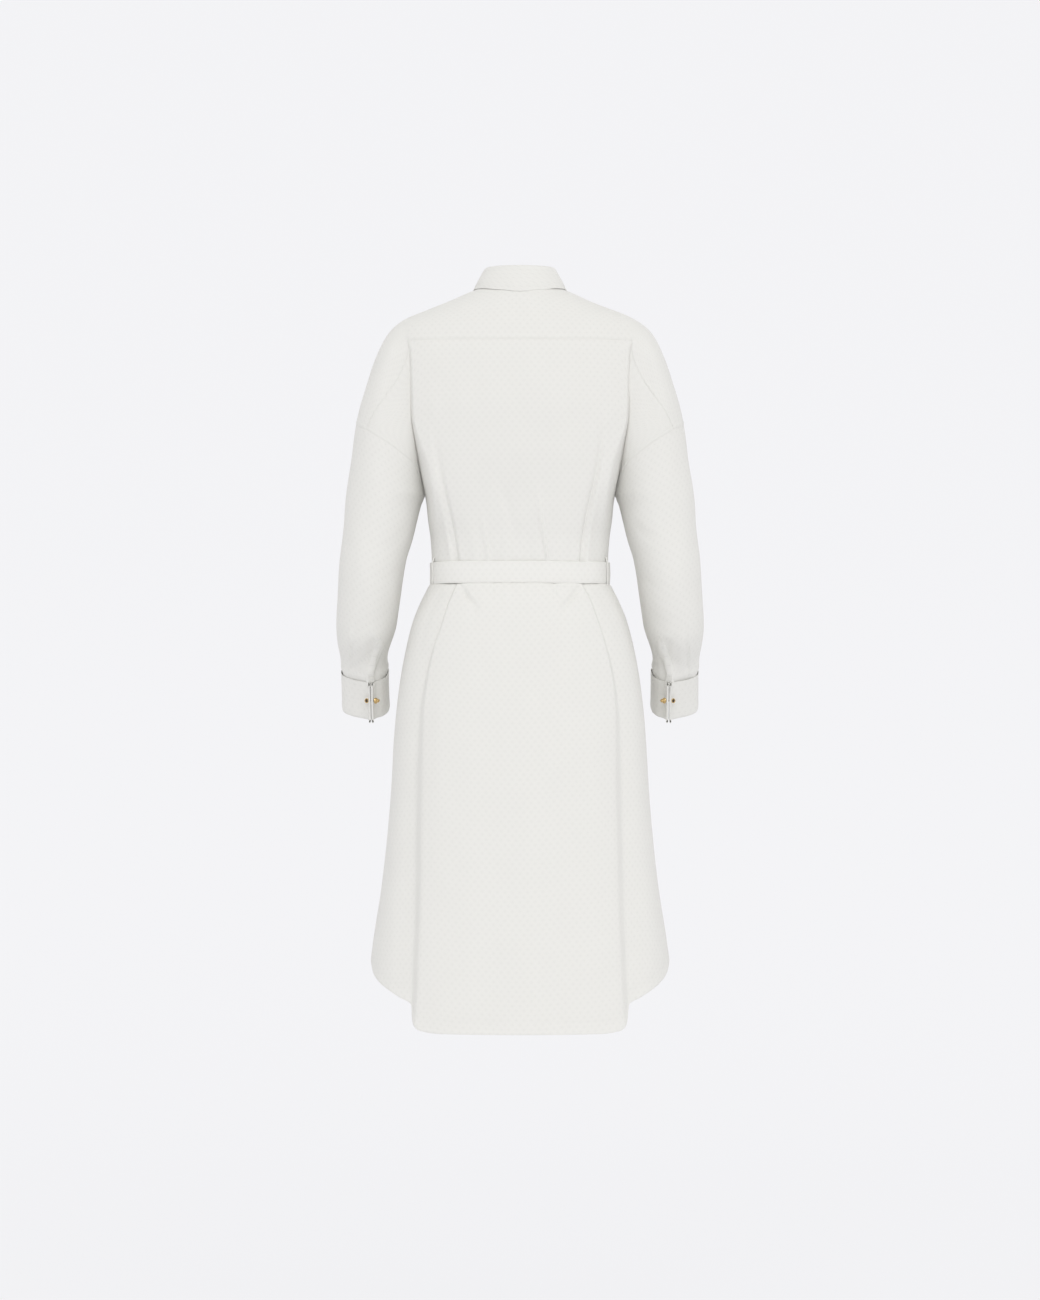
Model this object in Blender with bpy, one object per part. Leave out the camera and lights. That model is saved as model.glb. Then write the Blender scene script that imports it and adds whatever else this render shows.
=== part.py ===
"""White cotton shirt dress with a tie belt, in its worn form: open, hollow walls and no wearer.

The front faces -Y, the wearer's left is +X and up is +Z. The origin is the centre of the neck opening, level with the
neck seam at the nape. Every size is in millimetres, and MM turns it into Blender's metres.

The outer surface is one function, surface(side, s, z). s runs round one half of the dress at height z: 0 is the centre
back, VALLEY the crease between back and arm, 1 the outside of the arm, 2 - VALLEY the crease between front and arm, and
2 the centre front. Below the underarm the creases are the side seam of the body and the inner seam of the sleeve.
"""

import math
from collections import namedtuple

import bmesh
import bpy
import numpy as np

MM = 0.001
WALL = 1.5  # thickness of one cloth wall
SEAM = 0.3  # gap between two pieces at a seam, and between a piece and what it lies on
LEFT, RIGHT = 1, -1  # the wearer's sides, as the sign of X
SIDES = {"left": LEFT, "right": RIGHT}

# ---------------------------------------------------------------- driving sizes

UNDERARM = -297.0  # height of the point where sleeve, front and back meet
BELT_TOP, BELT_BOTTOM = -391.0, -422.0
BELT_WALL = 2.0
YOKE_SEAM = -79.0
VALLEY = 0.6  # place of the arm crease and the side seam in s
SHOULDER_SEAM = 1.12  # the yoke's front edge in s
YOKE_CORNER = 0.88  # where the yoke seam meets the sleeve seam, in s
CREASE_GAP = 2.5  # open width of the crease beside the arm
BACK_PLANE = 200.0  # half width at which the flat of the back would round away
ROUND = 0.87  # power that squares the torso's sections
OVAL = 2.3  # power of the shoulders' sections
PLACKET_WIDTH = 30.0
CUFF_TOP, CUFF_HEIGHT = -548.0, 54.0

Torso = namedtuple("Torso", "z half_width back front")
TORSO = (
    Torso(0, 54, 48, 24),
    Torso(-7, 68, 54, 28),
    Torso(-16, 84, 60, 33),
    Torso(-30, 112, 66, 40),
    Torso(-44, 137, 72, 49),
    Torso(-57, 153, 77, 56),
    Torso(-72, 157, 81, 63),
    Torso(-94, 155, 87, 80),
    Torso(-140, 154, 95, 104),
    Torso(-180, 153.5, 98, 117),
    Torso(-230, 146.5, 97, 123),
    Torso(-265, 141, 94, 121),
    Torso(-297, 135, 91, 117),
    Torso(-330, 131.5, 88, 111),
    Torso(-360, 127.5, 85, 107),
    Torso(-386, 126, 84.5, 104.5),
    Torso(-426, 126, 84.5, 104.5),
    Torso(-434, 134, 92, 109),
    Torso(-446, 141, 99, 114),
    Torso(-474, 152.5, 108, 122),
    Torso(-502, 160, 114, 127),
    Torso(-559, 171, 123, 134),
    Torso(-631, 179, 132, 139),
    Torso(-731, 185, 140, 144),
    Torso(-845, 196.5, 148, 150),
    Torso(-931, 209.5, 154, 154),
    Torso(-1050, 222, 162, 160),
)

# Half width at the outside of shoulder and arm, and the sleeve's inner side below the underarm.
Arm = namedtuple("Arm", "z outer inner centre_y half_depth")
ARM = (
    Arm(0, 60, 56, 0, 22),
    Arm(-7, 76, 70, 0, 26),
    Arm(-16, 96, 87, 0, 30),
    Arm(-30, 131, 115, 0, 36),
    Arm(-44, 165, 140, 0, 42),
    Arm(-59, 184, 156, 0, 46),
    Arm(-73, 194, 160, 0, 49),
    Arm(-101, 207, 158, 0, 53),
    Arm(-130, 217, 157, 0, 55),
    Arm(-187, 233, 155, 0, 58),
    Arm(-245, 241, 146, 0, 59),
    Arm(-297, 249, 137.5, 0, 59),
    Arm(-310, 250, 141.5, 0, 58.5),
    Arm(-330, 251, 146.6, 0, 58),
    Arm(-359, 254, 153.7, 0, 57),
    Arm(-387, 257.4, 162.3, 0, 56),
    Arm(-445, 261.7, 171.6, -7, 54),
    Arm(-473, 263.8, 175.9, -14, 52),
    Arm(-502, 264.2, 180.4, -23, 49),
    Arm(-530, 260.0, 183.8, -33, 44),
    Arm(-552, 254.5, 185.5, -42, 38),
    Arm(-640, 254.5, 185.5, -77, 38),
)

# How far out from the middle the bottom of each arm crease lies, back and front.
Crease = namedtuple("Crease", "z back front")
CREASE = (
    Crease(0, 18, 12),
    Crease(-44, 38, 26),
    Crease(-72, 46, 36),
    Crease(-94, 42, 40),
    Crease(-140, 37, 38),
    Crease(-180, 31, 32),
    Crease(-230, 22, 23),
    Crease(-265, 14, 15),
    Crease(-285, 7.5, 8),
    Crease(-294, 3, 3),
    Crease(-297, 0, 0),
    Crease(-1100, 0, 0),
)

# Height of the back yoke seam and of the slanted sleeve seam along s.
SeamPoint = namedtuple("SeamPoint", "s z")
BACK_YOKE_SEAM = (
    SeamPoint(0, YOKE_SEAM),
    SeamPoint(0.52, YOKE_SEAM + 1),
    SeamPoint(0.6, -86),
    SeamPoint(0.66, -100),
    SeamPoint(0.76, -140),
    SeamPoint(0.84, -178),
    SeamPoint(YOKE_CORNER, -204),
    SeamPoint(1, -230),
)
SLEEVE_SEAM = (
    SeamPoint(VALLEY, UNDERARM),
    SeamPoint(0.65, -256),
    SeamPoint(0.71, -242),
    SeamPoint(0.8, -219),
    SeamPoint(0.9, -201),
    SeamPoint(1, -194),
    SeamPoint(1.1, -201),
    SeamPoint(1.2, -219),
    SeamPoint(1.29, -247),
    SeamPoint(1.35, -273),
    SeamPoint(2 - VALLEY, UNDERARM),
)

# The shirt-tail hem. t runs from the centre line, 0, to the side seam, 1. The back steps up where its fold turns under.
Hem = namedtuple("Hem", "t z")
BACK_HEM = (
    Hem(0, -1047),
    Hem(0.27, -1047),
    Hem(0.37, -1044),
    Hem(0.41, -1038),
    Hem(0.435, -1030),
    Hem(0.46, -1009),
    Hem(0.535, -1001),
    Hem(0.62, -992),
    Hem(0.735, -981),
    Hem(0.84, -970),
    Hem(0.92, -960),
    Hem(1, -955),
)
FRONT_HEM = (
    Hem(0, -1030),
    Hem(0.3, -1029),
    Hem(0.45, -1022),
    Hem(0.6, -1006),
    Hem(0.75, -984),
    Hem(0.88, -965),
    Hem(1, -955),
)

# Folds of the body, each a line down the cloth: half width x of the line and height of the fold at each z.
# A step drops the cloth beside the line, on its side towards the side seam, and a tuck is a small ridge on the line.
FoldPoint = namedtuple("FoldPoint", "z x height")
Fold = namedtuple("Fold", "kind front sides width fade points")
BACK_FOLD_LEFT = Fold(
    "step", False, (LEFT,), 5.0, 38.0,
    (
        FoldPoint(-262, 119, 0), FoldPoint(-295, 112, 3), FoldPoint(-345, 101, 4.5), FoldPoint(-381, 90, 4.5),
        FoldPoint(-388, 89, 0), FoldPoint(-425, 89, 0), FoldPoint(-434, 94, 4), FoldPoint(-481, 115, 7),
        FoldPoint(-535, 128.6, 8), FoldPoint(-627, 142, 8.5), FoldPoint(-724, 144.7, 8.5), FoldPoint(-850, 145, 8.5),
        FoldPoint(-1000, 148, 9), FoldPoint(-1050, 153, 9),
    ),
)
BACK_FOLD_RIGHT = Fold(
    "step", False, (RIGHT,), 5.0, 38.0,
    (
        FoldPoint(-262, 114, 0), FoldPoint(-312, 101, 3), FoldPoint(-350, 95, 4.5), FoldPoint(-381, 89, 4.5),
        FoldPoint(-388, 90, 0), FoldPoint(-425, 90, 0), FoldPoint(-434, 95, 4), FoldPoint(-502, 113, 7),
        FoldPoint(-580, 129.5, 8.5), FoldPoint(-627, 135, 8.5), FoldPoint(-724, 139, 8.5), FoldPoint(-850, 142, 8.5),
        FoldPoint(-1000, 148, 9), FoldPoint(-1050, 153, 9),
    ),
)
BACK_TUCK_LEFT = Fold(
    "tuck", False, (LEFT,), 4.5, 0.0,
    (
        FoldPoint(-318, 41, 0), FoldPoint(-381, 41, 2.6), FoldPoint(-388, 41, 0), FoldPoint(-425, 41, 0),
        FoldPoint(-434, 42, 2.8), FoldPoint(-456, 46, 0), FoldPoint(-1050, 62, 0),
    ),
)
BACK_TUCK_RIGHT = Fold(
    "tuck", False, (RIGHT,), 4.5, 0.0,
    (
        FoldPoint(-350, 33, 0), FoldPoint(-381, 48, 2.6), FoldPoint(-388, 50, 0), FoldPoint(-425, 50, 0),
        FoldPoint(-434, 51, 2.8), FoldPoint(-453, 56, 0), FoldPoint(-1050, 66, 0),
    ),
)
FRONT_FOLD = Fold(
    "step", True, (LEFT, RIGHT), 5.0, 42.0,
    (
        FoldPoint(-270, 106, 0), FoldPoint(-345, 96, 4), FoldPoint(-381, 88, 4.5), FoldPoint(-388, 87, 0),
        FoldPoint(-425, 87, 0), FoldPoint(-434, 91, 4), FoldPoint(-500, 112, 7), FoldPoint(-627, 132, 9),
        FoldPoint(-850, 142, 13), FoldPoint(-1050, 150, 14),
    ),
)
FRONT_TUCK = Fold(
    "tuck", True, (LEFT, RIGHT), 4.5, 0.0,
    (
        FoldPoint(-330, 50, 0), FoldPoint(-381, 47, 2.6), FoldPoint(-388, 47, 0), FoldPoint(-425, 47, 0),
        FoldPoint(-434, 48, 2.8), FoldPoint(-460, 53, 0), FoldPoint(-1050, 68, 0),
    ),
)
FOLDS = (BACK_FOLD_LEFT, BACK_FOLD_RIGHT, BACK_TUCK_LEFT, BACK_TUCK_RIGHT, FRONT_FOLD, FRONT_TUCK)

# The cuff's run round the wrist, from one pinched end to the other, about the wrist's centre. x is outwards.
CuffPoint = namedtuple("CuffPoint", "x y")
CUFF_RUN = (
    CuffPoint(-5.2, 52), CuffPoint(-5.2, 46), CuffPoint(-4.6, 40), CuffPoint(4, 34), CuffPoint(20, 25),
    CuffPoint(33.5, 10), CuffPoint(36.5, -8), CuffPoint(26, -27), CuffPoint(2, -37), CuffPoint(-19.5, -28),
    CuffPoint(-29, -9), CuffPoint(-27.5, 9), CuffPoint(-21.5, 24), CuffPoint(-11.5, 34), CuffPoint(-8.4, 40),
    CuffPoint(-8.8, 46), CuffPoint(-8.8, 52),
)
CUFF_LAYER = 1.2
CUFF_GAP = 0.6
STUD_HEIGHT = 0.546  # share of the cuff's height above its fold
STUD_OUT = 44.5  # how far behind the wrist's centre the stud passes

STAND_HEIGHT, STAND_LEAN, STAND_SIDE_LEAN = 28.0, 8.0, 13.5
FALL_OVER = 5.5  # clearance of the collar's free edge above the cloth
FrontEdge = namedtuple("FrontEdge", "share x y")
FALL_EDGE = (
    FrontEdge(-0.18, -34, 49.5), FrontEdge(0, 0, 56.5), FrontEdge(0.18, 34, 49.5), FrontEdge(0.36, 60, 24), FrontEdge(0.47, 66.5, 0),
    FrontEdge(0.6, 68, -24), FrontEdge(0.76, 64, -55), FrontEdge(0.9, 57, -79), FrontEdge(1.0, 49, -94),
)

BUTTON_RADIUS, BUTTON_THICK = 5.5, 2.5
BUTTON_FIRST, BUTTON_PITCH, BUTTON_COUNT = -130.0, -84.0, 9
TAIL_LENGTH = 300.0

# ---------------------------------------------------------------- smooth functions of a table


class Smooth:
    """A smooth curve through (place, value) pairs, which never overshoots them and is level beyond its ends."""

    def __init__(self, places, values):
        order = np.argsort(places)
        self.places = np.asarray(places, float)[order]
        self.values = np.asarray(values, float)[order]
        steps = np.diff(self.places)
        slopes = np.diff(self.values) / steps
        self.slopes = np.concatenate([slopes[:1], np.zeros(len(steps) - 1), slopes[-1:]])
        for i in range(1, len(steps)):
            if slopes[i - 1] * slopes[i] > 0:
                before = 2 * steps[i] + steps[i - 1]
                after = steps[i] + 2 * steps[i - 1]
                self.slopes[i] = (before + after) / (before / slopes[i - 1] + after / slopes[i])

    def __call__(self, place):
        place = np.clip(place, self.places[0], self.places[-1])
        i = np.clip(np.searchsorted(self.places, place) - 1, 0, len(self.places) - 2)
        step = self.places[i + 1] - self.places[i]
        t = (place - self.places[i]) / step
        start = (1 + 2 * t) * (1 - t) ** 2 * self.values[i] + t * (1 - t) ** 2 * step * self.slopes[i]
        end = t * t * (3 - 2 * t) * self.values[i + 1] + t * t * (t - 1) * step * self.slopes[i + 1]
        return start + end


def column(table, value, place="z"):
    return Smooth([getattr(row, place) for row in table], [getattr(row, value) for row in table])


HALF_WIDTH, BACK, FRONT = (column(TORSO, name) for name in ("half_width", "back", "front"))
OUTER, INNER, ARM_Y, ARM_DEPTH = (column(ARM, name) for name in ("outer", "inner", "centre_y", "half_depth"))
CREASE_BACK, CREASE_FRONT = column(CREASE, "back"), column(CREASE, "front")
YOKE_LINE = column(BACK_YOKE_SEAM, "z", "s")
SLEEVE_LINE = column(SLEEVE_SEAM, "z", "s")
HEM_LINES = {False: column(BACK_HEM, "z", "t"), True: column(FRONT_HEM, "z", "t")}
FOLD_X = {fold: column(fold.points, "x") for fold in FOLDS}
FOLD_HEIGHT = {fold: column(fold.points, "height") for fold in FOLDS}


def ease(start, end, value):
    t = np.clip((value - start) / (end - start), 0.0, 1.0)
    return t * t * (3 - 2 * t)


def mix(a, b, share):
    return a + (b - a) * share


# ---------------------------------------------------------------- the outer surface

SHOULDER_TOP, SHOULDER_END = -51.0, -110.0  # between these the oval of the shoulders gives way to torso and arms
TEARDROP_TOP = -478.0  # the sleeve starts to take the cuff's shape
SLANT_TOP = -330.0  # the forearm's rings start to tilt


def cuff_run(share):
    """Point of the cuff's middle line, about the wrist's centre. share is 0 at one end and 1 at the other."""
    points = np.array(CUFF_RUN)
    lengths = np.concatenate([[0], np.cumsum(np.linalg.norm(np.diff(points, axis=0), axis=1))])
    lengths /= lengths[-1]
    return Smooth(lengths, points[:, 0])(share), Smooth(lengths, points[:, 1])(share)


FIN_SHARE = 0.062  # share of the run that each pinched end takes


def sleeve_end(u_round):
    """The sleeve's last ring: the cuff's run without its pinched ends. u_round is 0 and 1 at the inner side."""
    slit = (SLIT - VALLEY) / (1 - VALLEY) / 2
    share = np.where(u_round < slit, mix(0.74, 1 - FIN_SHARE, u_round / slit),
                     mix(FIN_SHARE, 0.74, (u_round - slit) / (1 - slit)))
    return cuff_run(share)


def is_arm(s):
    return np.abs(s - 1) < 1 - VALLEY - 1e-7


def base_section(s, z):
    """x and y of the outer surface without folds, on the wearer's left, at height z."""
    front = s > 1.0
    way = np.where(front, -1.0, 1.0)
    u = np.where(front, 2.0 - s, s)
    half, outer = HALF_WIDTH(z), OUTER(z)
    depth = np.where(front, FRONT(z), BACK(z))
    crease = np.where(front, CREASE_FRONT(z), CREASE_BACK(z))
    turn = CREASE_GAP / 2 * ease(UNDERARM - 12, UNDERARM, z)
    inner = np.where(z >= UNDERARM, half + CREASE_GAP, np.maximum(INNER(z), half + 2 * turn))
    centre_y = way * ARM_Y(z)
    tight = ease(UNDERARM, -180.0, z)
    oval = ease(SHOULDER_END, SHOULDER_TOP, z)

    t = np.clip(u / VALLEY, 0.0, 1.0)
    angle = t * math.pi / 2
    bottom = np.clip((t - 0.93) / 0.07, 0.0, 1.0) ** 2
    torso_x = half * np.sin(angle) ** ROUND
    flat = depth * np.sqrt(np.maximum(1 - (torso_x / BACK_PLANE) ** OVAL, 0.0))
    edge = depth * np.sqrt(np.maximum(1 - (half / BACK_PLANE) ** OVAL, 0.0))
    creased = flat - (edge - crease) * ease(0.84, 1.0, t)
    rounded = crease + (depth - crease) * np.abs(np.cos(angle)) ** ROUND
    torso_y = mix(rounded, creased, np.where(z >= UNDERARM, tight, 0.0)) - np.minimum(turn, crease) * bottom
    torso_x = torso_x + turn * bottom

    phi = math.pi * (1 - (u - VALLEY) / (1 - VALLEY))
    phi = np.clip(phi, 0.0, math.pi)
    bottom = np.clip((phi / math.pi - 0.93) / 0.07, 0.0, 1.0) ** 2
    arm_x = (inner + outer) / 2 + (outer - inner) / 2 * np.cos(phi)
    root = np.where(phi > math.pi / 2, np.where(z >= UNDERARM, crease, centre_y), centre_y)
    reach = ARM_DEPTH(z) + centre_y
    steep = np.where(phi > math.pi / 2, mix(1.0, 0.6, tight), 1.0)
    arm_y = root + (reach - root) * np.abs(np.sin(phi)) ** steep - np.minimum(turn, crease) * bottom
    arm_x = arm_x - turn * bottom

    on_arm = is_arm(s)
    x = np.where(on_arm, arm_x, torso_x)
    y = np.where(on_arm, arm_y, torso_y)
    oval_y = depth * np.sqrt(np.maximum(1 - (np.minimum(x, outer) / outer) ** OVAL, 0.0))
    y = way * mix(y, oval_y, oval)

    drop = ease(TEARDROP_TOP, CUFF_TOP, z)
    around = np.where(front, 1 - (u - VALLEY) / (1 - VALLEY) / 2, (u - VALLEY) / (1 - VALLEY) / 2)
    end_x, end_y = sleeve_end(np.clip(around, 0, 1))
    middle = (INNER(z) + OUTER(z)) / 2
    x = np.where(on_arm, mix(x, middle + end_x, drop), x)
    y = np.where(on_arm, mix(y, ARM_Y(z) + end_y, drop), y)
    return x, y


def arm_slant(z):
    """Fall of a forearm ring for each millimetre towards the back."""
    return 0.36 * ease(SLANT_TOP, -520.0, z)


def fold_depth(side, s, z, x):
    """Height of the body's folds over the plain surface."""
    depth = np.zeros(np.broadcast(s, z).shape)
    for fold in FOLDS:
        if side not in fold.sides:
            continue
        place, height = FOLD_X[fold](z), FOLD_HEIGHT[fold](z)
        away = x - place
        if fold.kind == "step":
            fade = np.exp(-np.maximum(away - fold.width, 0.0) / fold.fade)
            shape = -ease(-fold.width, fold.width, away) * fade
            shape = shape * (1 - ease(0.8, 1.0, x / HALF_WIDTH(z)))
        else:
            shape = np.maximum(1 - np.abs(away) / fold.width, 0.0)
        here = (np.abs(s - 1) > 1 - VALLEY) & ((s > 1) == fold.front)
        depth = depth + np.where(here, shape * height, 0.0)
    return depth


def surface(side, s, z):
    """Points of the outer surface, as an array with x, y, z last."""
    s, z = np.broadcast_arrays(np.asarray(s, float), np.asarray(z, float))
    x, y = base_section(s, z)
    small = 2e-4
    after_x, after_y = base_section(s + small, z)
    before_x, before_y = base_section(np.abs(s - small), z)
    before_x = np.where(s < small, -before_x, before_x)
    along = np.stack([after_x - before_x, after_y - before_y], -1)
    along /= np.maximum(np.linalg.norm(along, axis=-1, keepdims=True), 1e-9)
    depth = fold_depth(side, s, z, x)
    x = x - along[..., 1] * depth
    y = y + along[..., 0] * depth
    slanted = z - np.where(is_arm(s), arm_slant(z) * (y - ARM_Y(z)), 0.0)
    return np.stack([side * x, y, slanted], -1)


def normals(side, s, z):
    """Unit vectors out of the surface."""
    s, z = np.broadcast_arrays(np.asarray(s, float), np.asarray(z, float))
    ds, dz = 2e-3, 0.4
    low, high = np.maximum(s - ds, 0.0), np.minimum(s + ds, 2.0)
    apart = z < UNDERARM + 1.0
    for seam, way in ((VALLEY, 1), (2 - VALLEY, -1)):
        body, arm = (seam - s) * way > -1e-7, (seam - s) * way < -1e-7
        crossing = apart & (np.abs(s - seam) < ds)
        edge = seam + 1e-6 * way
        low = np.where(crossing & (arm if way > 0 else body), np.maximum(low, edge if way > 0 else seam), low)
        high = np.where(crossing & (body if way > 0 else arm), np.minimum(high, seam if way > 0 else edge), high)
    along = surface(side, high, z) - surface(side, low, z)
    down = surface(side, s, z - dz) - surface(side, s, z + dz)
    out = np.cross(along, down) * side
    out /= np.maximum(np.linalg.norm(out, axis=-1, keepdims=True), 1e-9)
    return out


def side_share(x, z):
    """t of the point at half width x on the torso, the inverse of the torso's run."""
    return 2 / math.pi * np.arcsin(np.clip(x / HALF_WIDTH(z), 0, 1) ** (1 / ROUND))


# ---------------------------------------------------------------- meshes


def clear_scene():
    for thing in list(bpy.data.objects):
        bpy.data.objects.remove(thing, do_unlink=True)


def material(name, colour, roughness=0.85, metallic=0.0):
    found = bpy.data.materials.get(name)
    if found:
        return found
    made = bpy.data.materials.new(name)
    made.use_nodes = True
    shader = made.node_tree.nodes["Principled BSDF"]
    shader.inputs["Base Color"].default_value = (*colour, 1.0)
    shader.inputs["Roughness"].default_value = roughness
    shader.inputs["Metallic"].default_value = metallic
    made.diffuse_color = (*colour, 1.0)
    return made


def cotton():
    return material("white_cotton", (0.79, 0.79, 0.76))


def pearl():
    return material("white_pearl", (0.86, 0.85, 0.80), 0.3)


def gold():
    return material("pale_gold", (0.83, 0.62, 0.30), 0.25, 1.0)


def add_object(name, points, faces, finish):
    """One closed mesh from points in millimetres, with its faces turned outwards."""
    mesh = bpy.data.meshes.new(name)
    mesh.from_pydata([tuple(p * MM for p in point) for point in points], [], faces)
    work = bmesh.new()
    work.from_mesh(mesh)
    bmesh.ops.recalc_face_normals(work, faces=work.faces)
    work.to_mesh(mesh)
    work.free()
    for face in mesh.polygons:
        face.use_smooth = True
    mesh.set_sharp_from_angle(angle=math.radians(40))
    mesh.materials.append(finish)
    thing = bpy.data.objects.new(name, mesh)
    bpy.context.scene.collection.objects.link(thing)
    return thing


class Cloth:
    """Blocks of grid points that share edges, made into one wall: outer points, inner points and the rim between."""

    def __init__(self):
        self.outer, self.inner, self.quads, self.index = [], [], [], {}

    def add(self, outer, inner, skip=None):
        """Adds a grid of outer and inner points. skip(i, j) leaves a cell out, as a slit."""
        rows, columns = outer.shape[:2]
        numbers = np.empty((rows, columns), int)
        for i in range(rows):
            for j in range(columns):
                key = tuple(np.round(outer[i, j], 3))
                if key not in self.index:
                    self.index[key] = len(self.outer)
                    self.outer.append(outer[i, j])
                    self.inner.append(inner[i, j])
                numbers[i, j] = self.index[key]
        for i in range(rows - 1):
            for j in range(columns - 1):
                if skip is None or not skip(i, j):
                    self.quads.append((numbers[i, j], numbers[i, j + 1], numbers[i + 1, j + 1], numbers[i + 1, j]))

    def build(self, name, finish):
        count = len(self.outer)
        faces = [quad for quad in self.quads]
        faces += [tuple(number + count for number in reversed(quad)) for quad in self.quads]
        edges = {}
        for quad in self.quads:
            for a, b in zip(quad, quad[1:] + quad[:1]):
                edges.setdefault((min(a, b), max(a, b)), []).append((a, b))
        for users in edges.values():
            if len(users) == 1:
                a, b = users[0]
                faces.append((b, a, a + count, b + count))
        return add_object(name, self.outer + self.inner, faces, finish)


def pull_in(points, edges, distance=SEAM / 2):
    """Draws the named edges of a grid towards its inside, square to each edge, for the gap at a seam."""
    moved = points.copy()
    for name in edges:
        grid_points = points if name in ("top", "bottom") else points.transpose(1, 0, 2)
        target = moved if name in ("top", "bottom") else moved.transpose(1, 0, 2)
        edge, inside = (0, 1) if name in ("top", "start") else (-1, -2)
        step = grid_points[inside] - grid_points[edge]
        along = np.gradient(grid_points[edge], axis=0)
        along /= np.maximum(np.linalg.norm(along, axis=-1, keepdims=True), 1e-9)
        square = step - along * (step * along).sum(axis=-1, keepdims=True)
        target[edge] += square / np.maximum(np.linalg.norm(square, axis=-1, keepdims=True), 1e-9) * distance
    return moved


def grid(side, s, z, edges=(), lift=0.0, wall=WALL):
    """Outer and inner points of a wall on the surface, moved out by lift."""
    out = normals(side, s, z)
    points = pull_in(surface(side, s, z), edges)
    return points + out * lift, points + out * (lift - wall)


# ---------------------------------------------------------------- rows and columns of the body

WAIST_ROWS = (-325.0, -350.0, -370.0, -381.0, -388.0, -406.5, -425.0, -434.0, -446.0, -468.0, -500.0)
UPPER_SHARES = (0.0, 0.08, 0.16, 0.25, 0.36, 0.51, 0.67, 0.84, 1.0)  # rows from the neck or yoke seam down to the sleeve seam
ARM_COLUMNS = (0.6, 0.614, 0.638, 0.672, 0.728, 0.775, 0.828, 0.88, 0.94, 1.0)
SLIT, STRIP = 0.728, 0.0145  # the sleeve slit's line in s, and half the width of the band over it
SKIRT_ROWS = 6
FRONT_START = PLACKET_WIDTH / 2 + SEAM / 2


def body_rows(top, hem):
    """Heights of the rows for each column, from an array of top heights to an array of hem heights."""
    rows = [mix(top, UNDERARM, share) for share in UPPER_SHARES]
    rows += [np.full_like(top, height) for height in WAIST_ROWS]
    last = WAIST_ROWS[-1]
    rows += [mix(last, hem, (i + 1) / SKIRT_ROWS) for i in range(SKIRT_ROWS)]
    return np.array(rows)


def body_columns(step, tuck, start):
    """A function of z that gives the t of each column, following one tuck and one step fold."""

    def columns(z):
        tuck_x, step_x = FOLD_X[tuck](z), FOLD_X[step](z)
        low = side_share(start, z)
        a = side_share(tuck_x - tuck.width, z)
        b = side_share(tuck_x, z)
        c = side_share(tuck_x + tuck.width, z)
        d = side_share(step_x - step.width, z)
        e = side_share(step_x - step.width * 0.35, z)
        f = side_share(step_x + step.width * 0.35, z)
        g = side_share(step_x + step.width, z)
        last = np.ones_like(z)
        runs = [low, mix(low, a, 0.5), a, b, c, mix(c, d, 0.35), mix(c, d, 0.7), d, e, f, g]
        runs += [mix(g, last, share) for share in (0.3, 0.6, 0.85, 1.0)]
        return np.array(runs)

    return columns


def panel_folds(side, front):
    """The step fold and the tuck that a panel's columns follow."""
    if front:
        return FRONT_FOLD, FRONT_TUCK
    return (BACK_FOLD_LEFT, BACK_TUCK_LEFT) if side == LEFT else (BACK_FOLD_RIGHT, BACK_TUCK_RIGHT)


def torso_grid(side, front, start, top_line):
    """s and z of the torso block of a front or back panel, rows first."""
    columns = body_columns(*panel_folds(side, front), start)
    hem_t = columns(np.array([-1020.0]))[:, 0]
    top_t = columns(np.array([-150.0]))[:, 0]
    top_s = 2 - top_t * VALLEY if front else top_t * VALLEY
    z = body_rows(top_line(top_s), HEM_LINES[front](hem_t))
    t = np.array([[columns(np.array([z[i, j]]))[j, 0] for j in range(z.shape[1])] for i in range(z.shape[0])])
    top_share = ease(UNDERARM, -180.0, z)
    upper = mix(t, top_t[None, :], top_share)
    t = np.concatenate([t[:, :1], upper[:, 1:]], axis=1)
    return (2 - t * VALLEY if front else t * VALLEY), z


def arm_grid(s_values, top_line, bottom_line):
    """s and z of the part of a panel that hangs over the upper arm. Its rows meet the torso block's rows."""
    s = np.array(s_values)
    top, bottom = top_line(s), bottom_line(s)
    z = np.array([mix(top, bottom, share) for share in UPPER_SHARES])
    return np.broadcast_to(s, z.shape), z


def front_top(s):
    """Height of a front panel's upper edge: the neck curve, found where the surface meets the neck's oval."""
    s = np.asarray(s, float)
    high, low = np.zeros_like(s), np.full_like(s, -90.0)
    for _ in range(40):
        middle = (high + low) / 2
        x, y = base_section(s, middle)
        inside = (x / 60.0) ** 2 + ((y + 7.0) / 55.0) ** 2 < 1.0
        high, low = np.where(inside, middle, high), np.where(inside, low, middle)
    return high


# ---------------------------------------------------------------- body panels


def under_yoke(s):
    """The back panel's upper edge, a little below the yoke's so that they stay apart in the crease."""
    return YOKE_LINE(s) - 1.3 * ease(0.5, 0.58, s) * ease(0.68, 0.62, s) - 0.25 * ease(YOKE_CORNER, 0.8, s)


def back_panel():
    cloth = Cloth()
    for side in (LEFT, RIGHT):
        s, z = torso_grid(side, False, 0.0, under_yoke)
        outer, inner = split_edges(side, s, z, ("top", "bottom"), last_from=UNDERARM)
        cloth.add(outer, inner)
        columns = [s for s in ARM_COLUMNS if s < YOKE_CORNER] + [YOKE_CORNER - 0.006]
        s, z = arm_grid(columns, under_yoke, SLEEVE_LINE)
        cloth.add(*join_corner(side, s, grid(side, s, z, ("top", "bottom", "end"))))
    cloth.build("back_panel", cotton())


def join_corner(side, s, blocks):
    """An arm part's points, with its lowest inner corner at the torso block's own underarm point."""
    outer, inner = blocks
    outer[-1, 0], inner[-1, 0] = underarm_corner(side, s[-1, 0])
    return outer, inner


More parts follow.
